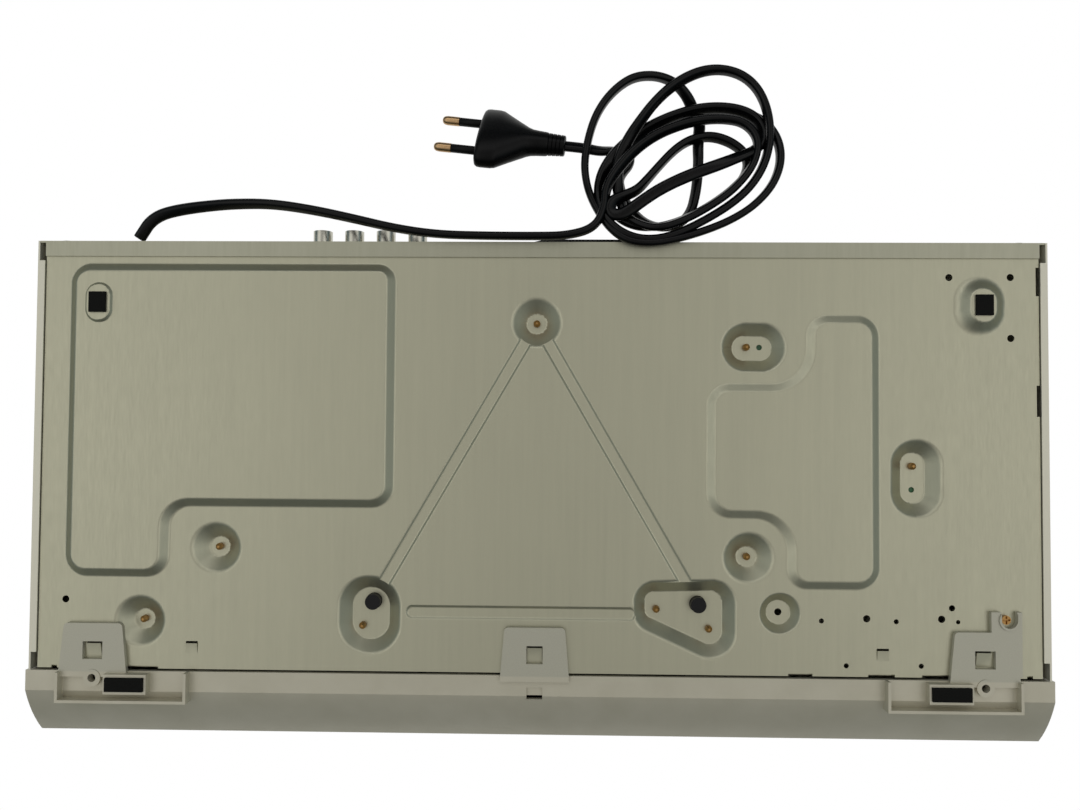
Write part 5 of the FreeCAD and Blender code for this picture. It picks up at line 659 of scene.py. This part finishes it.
# %% Table of finishes
long_z = (1, 1, 0.1)
rows = (
    # black ABS of the loader, the sockets and the filter
    (("black_moulding", "0C0C0D", "161617", 0.5, 0.0, 0.6, 0.02), "loader_frame", "clamp_puck",
     "disc_tray", "traverse_frame", "turntable", "line_filter"),
    # glossier black shell of the wide socket
    (("black_socket_shell", "0C0C0D", "151516", 0.4, 0.0, 0.6, 0.02), "scart_socket"),
    # natural acetal, slightly waxy and nearly white
    (("natural_acetal", "DAD8CF", "E6E4DC", 0.38, 0.0, 1.5, 0.01), "motor_pulley", "pulley_gear",
     "tray_pinion", "lift_slide", "board_standoffs"),
    # soft white insulation
    (("white_wiring", "CFCDC6", "E2E0DA", 0.45, 0.0, 1.2, 0.03), "control_ribbon", "power_wiring"),
    # drawn and plated steel, streaked along the can
    (("plated_steel_can", "A9AAA8", "BFC0BE", 0.3, 1.0, 0.4, 0.006, long_z), "loading_motor",
     "spindle_motor", "guide_rods", "sled_motor", "lead_screw"),
    # cast aluminium with a slightly grainy skin
    (("cast_aluminium", "A0A19F", "B8B9B6", 0.45, 0.95, 0.8, 0.03), "optical_pickup", "heat_sink"),
    # coated lens, dark blue and very smooth
    (("coated_lens", "3E4F73", "5A6F96", 0.06, 0.0, 2.0, 0.001), "objective_lens"),
    # green solder mask over glass fibre
    (("green_solder_mask", "1C4A2B", "275C36", 0.35, 0.0, 2.5, 0.01), "power_supply_board",
     "main_board", "jack_board", "control_boards"),
    # varnished copper winding under amber tape
    (("amber_winding_tape", "B0762A", "D29A45", 0.4, 0.0, 0.6, 0.05, long_z), "transformer"),
    # shrunk plastic sleeve of the capacitors
    (("capacitor_sleeve", "171A22", "222632", 0.3, 0.0, 2.0, 0.01), "capacitors"),
    # epoxy of chips and switches
    (("moulded_chip", "18191A", "242526", 0.6, 0.0, 0.3, 0.01), "board_chips", "tact_switches",
     "infrared_receiver"),
    # nickel on the jacks' barrels, even and bright
    (("nickel_jack", "C3C1B5", "CCCABF", 0.24, 1.0, 1.5, 0.0, (1, 1, 1), 0.03), "jack_sleeves"),
    # the jacks' insulators
    (("jack_insulator", "101012", "1B1B1D", 0.42, 0.0, 0.6, 0.02), "jack_mouldings"),
    # glass of the fluorescent display
    (("fluorescent_display_glass", "1A2420", "24302B", 0.12, 0.0, 4.0, 0.004), "display_module"),
    # smoked acrylic in front of it
    (("smoked_window", "0C0D10", "15171B", 0.14, 0.0, 6.0, 0.002), "display_window"),
    # silver lacquer of the buttons, finer than on the front
    (("satin_silver_button", "AEAEA6", "BBBBB4", 0.36, 0.5, 0.4, 0.008), "power_button",
     "open_button", "play_button", "stop_button", "previous_button", "next_button"),
)

# %% [markdown]
# ## Floor plate
#
# The floor plate is shown as a merged copy of its own mesh, so that the pressed bosses shade as one
# drawn sheet. The normals are weighted by area, so a boss blends into the ground around it. The flat
# ground then gets its own straight normals back, because long thin faces shade in patches when they
# borrow the tilt of a boss.

# %% Floor plate
bpy.ops.object.select_all(action="DESELECT")
source = nodes["bottom_chassis"]
floor_plate = bpy.data.objects.new("pressed_floor", source.data.copy())
scene.collection.objects.link(floor_plate)
floor_plate.select_set(True)
bpy.context.view_layer.objects.active = floor_plate
bpy.ops.object.mode_set(mode="EDIT")
bpy.ops.mesh.select_all(action="SELECT")
bpy.ops.mesh.remove_doubles(threshold=0.000001)
bpy.ops.object.mode_set(mode="OBJECT")
smooth(floor_plate, 28)
even = floor_plate.modifiers.new("even_normals", "WEIGHTED_NORMAL")
even.keep_sharp = True
even.weight = 90
floor_plate.select_set(True)
bpy.ops.object.modifier_apply(modifier=even.name)
normals = [corner.vector.copy() for corner in floor_plate.data.corner_normals]
for polygon in floor_plate.data.polygons:
    if abs(polygon.normal.z) > 0.9995:
        for corner in polygon.loop_indices:
            normals[corner] = polygon.normal.copy()
floor_plate.data.normals_split_custom_set(normals)
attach(floor_plate, "case")
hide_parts("bottom_chassis")
print("floor plate", len(floor_plate.data.polygons), "faces")

# %% [markdown]
# ## Dressing the nodes
#
# Each piece and each node takes its finish. The pins take two: the sleeve next to the plug, and the
# bare tip.

# %% Dressing


def dress(item, material):
    item.data.materials.clear()
    item.data.materials.append(material)


pin_metal = two_tone("plated_brass_pin", "A5835C", "C4A57E", 0.22, 1.0, 0.3, 0.002, (1, 0.2, 1))
for item, material in ((floor_plate, floor_zinc), (mains_lead, lead_skin), (relief, plug_skin),
                       (plug, plug_skin), (pins, pin_metal)):
    dress(item, material)
pins.data.materials.append(pin_sleeve)
for polygon in pins.data.polygons:
    polygon.material_index = int((polygon.center - plug_face).dot(pins_way) < SLEEVE_END)

# %% Dressing the nodes
for recipe, *names in rows:
    dull = recipe[0].startswith(("black", "jack"))
    material = two_tone(*recipe, specular=0.25 if dull else 0.5)
    for name in names:
        dress(nodes[name], material)
for material, names in (
        (panel_zinc, ("rear_panel", "clamp_bridge")),
        (pad_felt, ("front_foot_pads", "rear_foot_pads", "drive_belt")),
        (front_silver, ("front_bezel", "tray_door")),
        (cover_paint, ("top_cover",)),
        (brass_screw, ("board_screws", "loader_screws")),
        (zinc_screw, ("rear_panel_screws",)),
        (cover_screw, ("case_screws",))):
    for name in names:
        dress(nodes[name], material)
print("materials", len(bpy.data.materials))

# %% [markdown]
# ## Light
#
# The picture has a pure white ground and no shadow on it. The plate's recesses are dark on their upper
# walls and bright on their lower rims, so the main light stands beyond the rear edge, on the camera's
# side. The world is white to the camera, and for the rest a soft studio: brighter from the sides than
# from straight ahead, so that the satin sheet keeps its tone, greyer towards the horizon, and even and
# bright from above.

# %% World
world = bpy.data.worlds.new("white_ground")
scene.world = world
world.use_nodes = True
tree = world.node_tree
tree.nodes.clear()
way = node(tree, "ShaderNodeSeparateXYZ", (node(tree, "ShaderNodeTexCoord")["Generated"],))
side_share = node(tree, "ShaderNodeMath", (way["X"],), operation="ABSOLUTE")[0]
length_share = node(tree, "ShaderNodeMath", (way["Y"],), operation="ABSOLUTE")[0]
sideways = node(tree, "ShaderNodeMapRange", (side_share, 0.0, 0.6, 0.42, 1.3))["Result"]
lengthways = node(tree, "ShaderNodeMapRange", (length_share, 0.0, 0.8, 1.05, 0.55))["Result"]
low_down = node(tree, "ShaderNodeMapRange", (way["Z"], -0.8, -0.35))["Result"]
tint = node(
    tree, "ShaderNodeMix", {0: low_down, 6: rgb("F6F5F2"), 7: rgb("66757A")}, data_type="RGBA")[2]
level = node(tree, "ShaderNodeMath", (sideways, lengthways), operation="MULTIPLY")[0]
studio = node(tree, "ShaderNodeBackground", (tint, level))[0]
overhead = node(tree, "ShaderNodeBackground", (rgb("F4F4F2"), 0.95))[0]
from_above = node(tree, "ShaderNodeMapRange", (way["Z"], 0.05, 0.4))["Result"]
room = node(tree, "ShaderNodeMixShader", (from_above, studio, overhead))[0]
white = node(tree, "ShaderNodeBackground", ((1, 1, 1, 1), 1.0))[0]
to_camera = node(tree, "ShaderNodeLightPath")["Is Camera Ray"]
choice = node(tree, "ShaderNodeMixShader", (to_camera, room, white))[0]
node(tree, "ShaderNodeOutputWorld", (choice,))

# %% Window light
bpy.ops.object.light_add(type="AREA", location=(0.05, 0.85, -0.75))
lamp = bpy.context.object
lamp.name = "rear_window_light"
lamp.data.shape = "RECTANGLE"
lamp.data.size, lamp.data.size_y = 1.1, 0.5
lamp.data.energy = 1.4
lamp.rotation_euler = (Vector((0, 0, 0.02)) - lamp.location).to_track_quat("-Z", "Y").to_euler()
scene.view_settings.view_transform = "Standard"
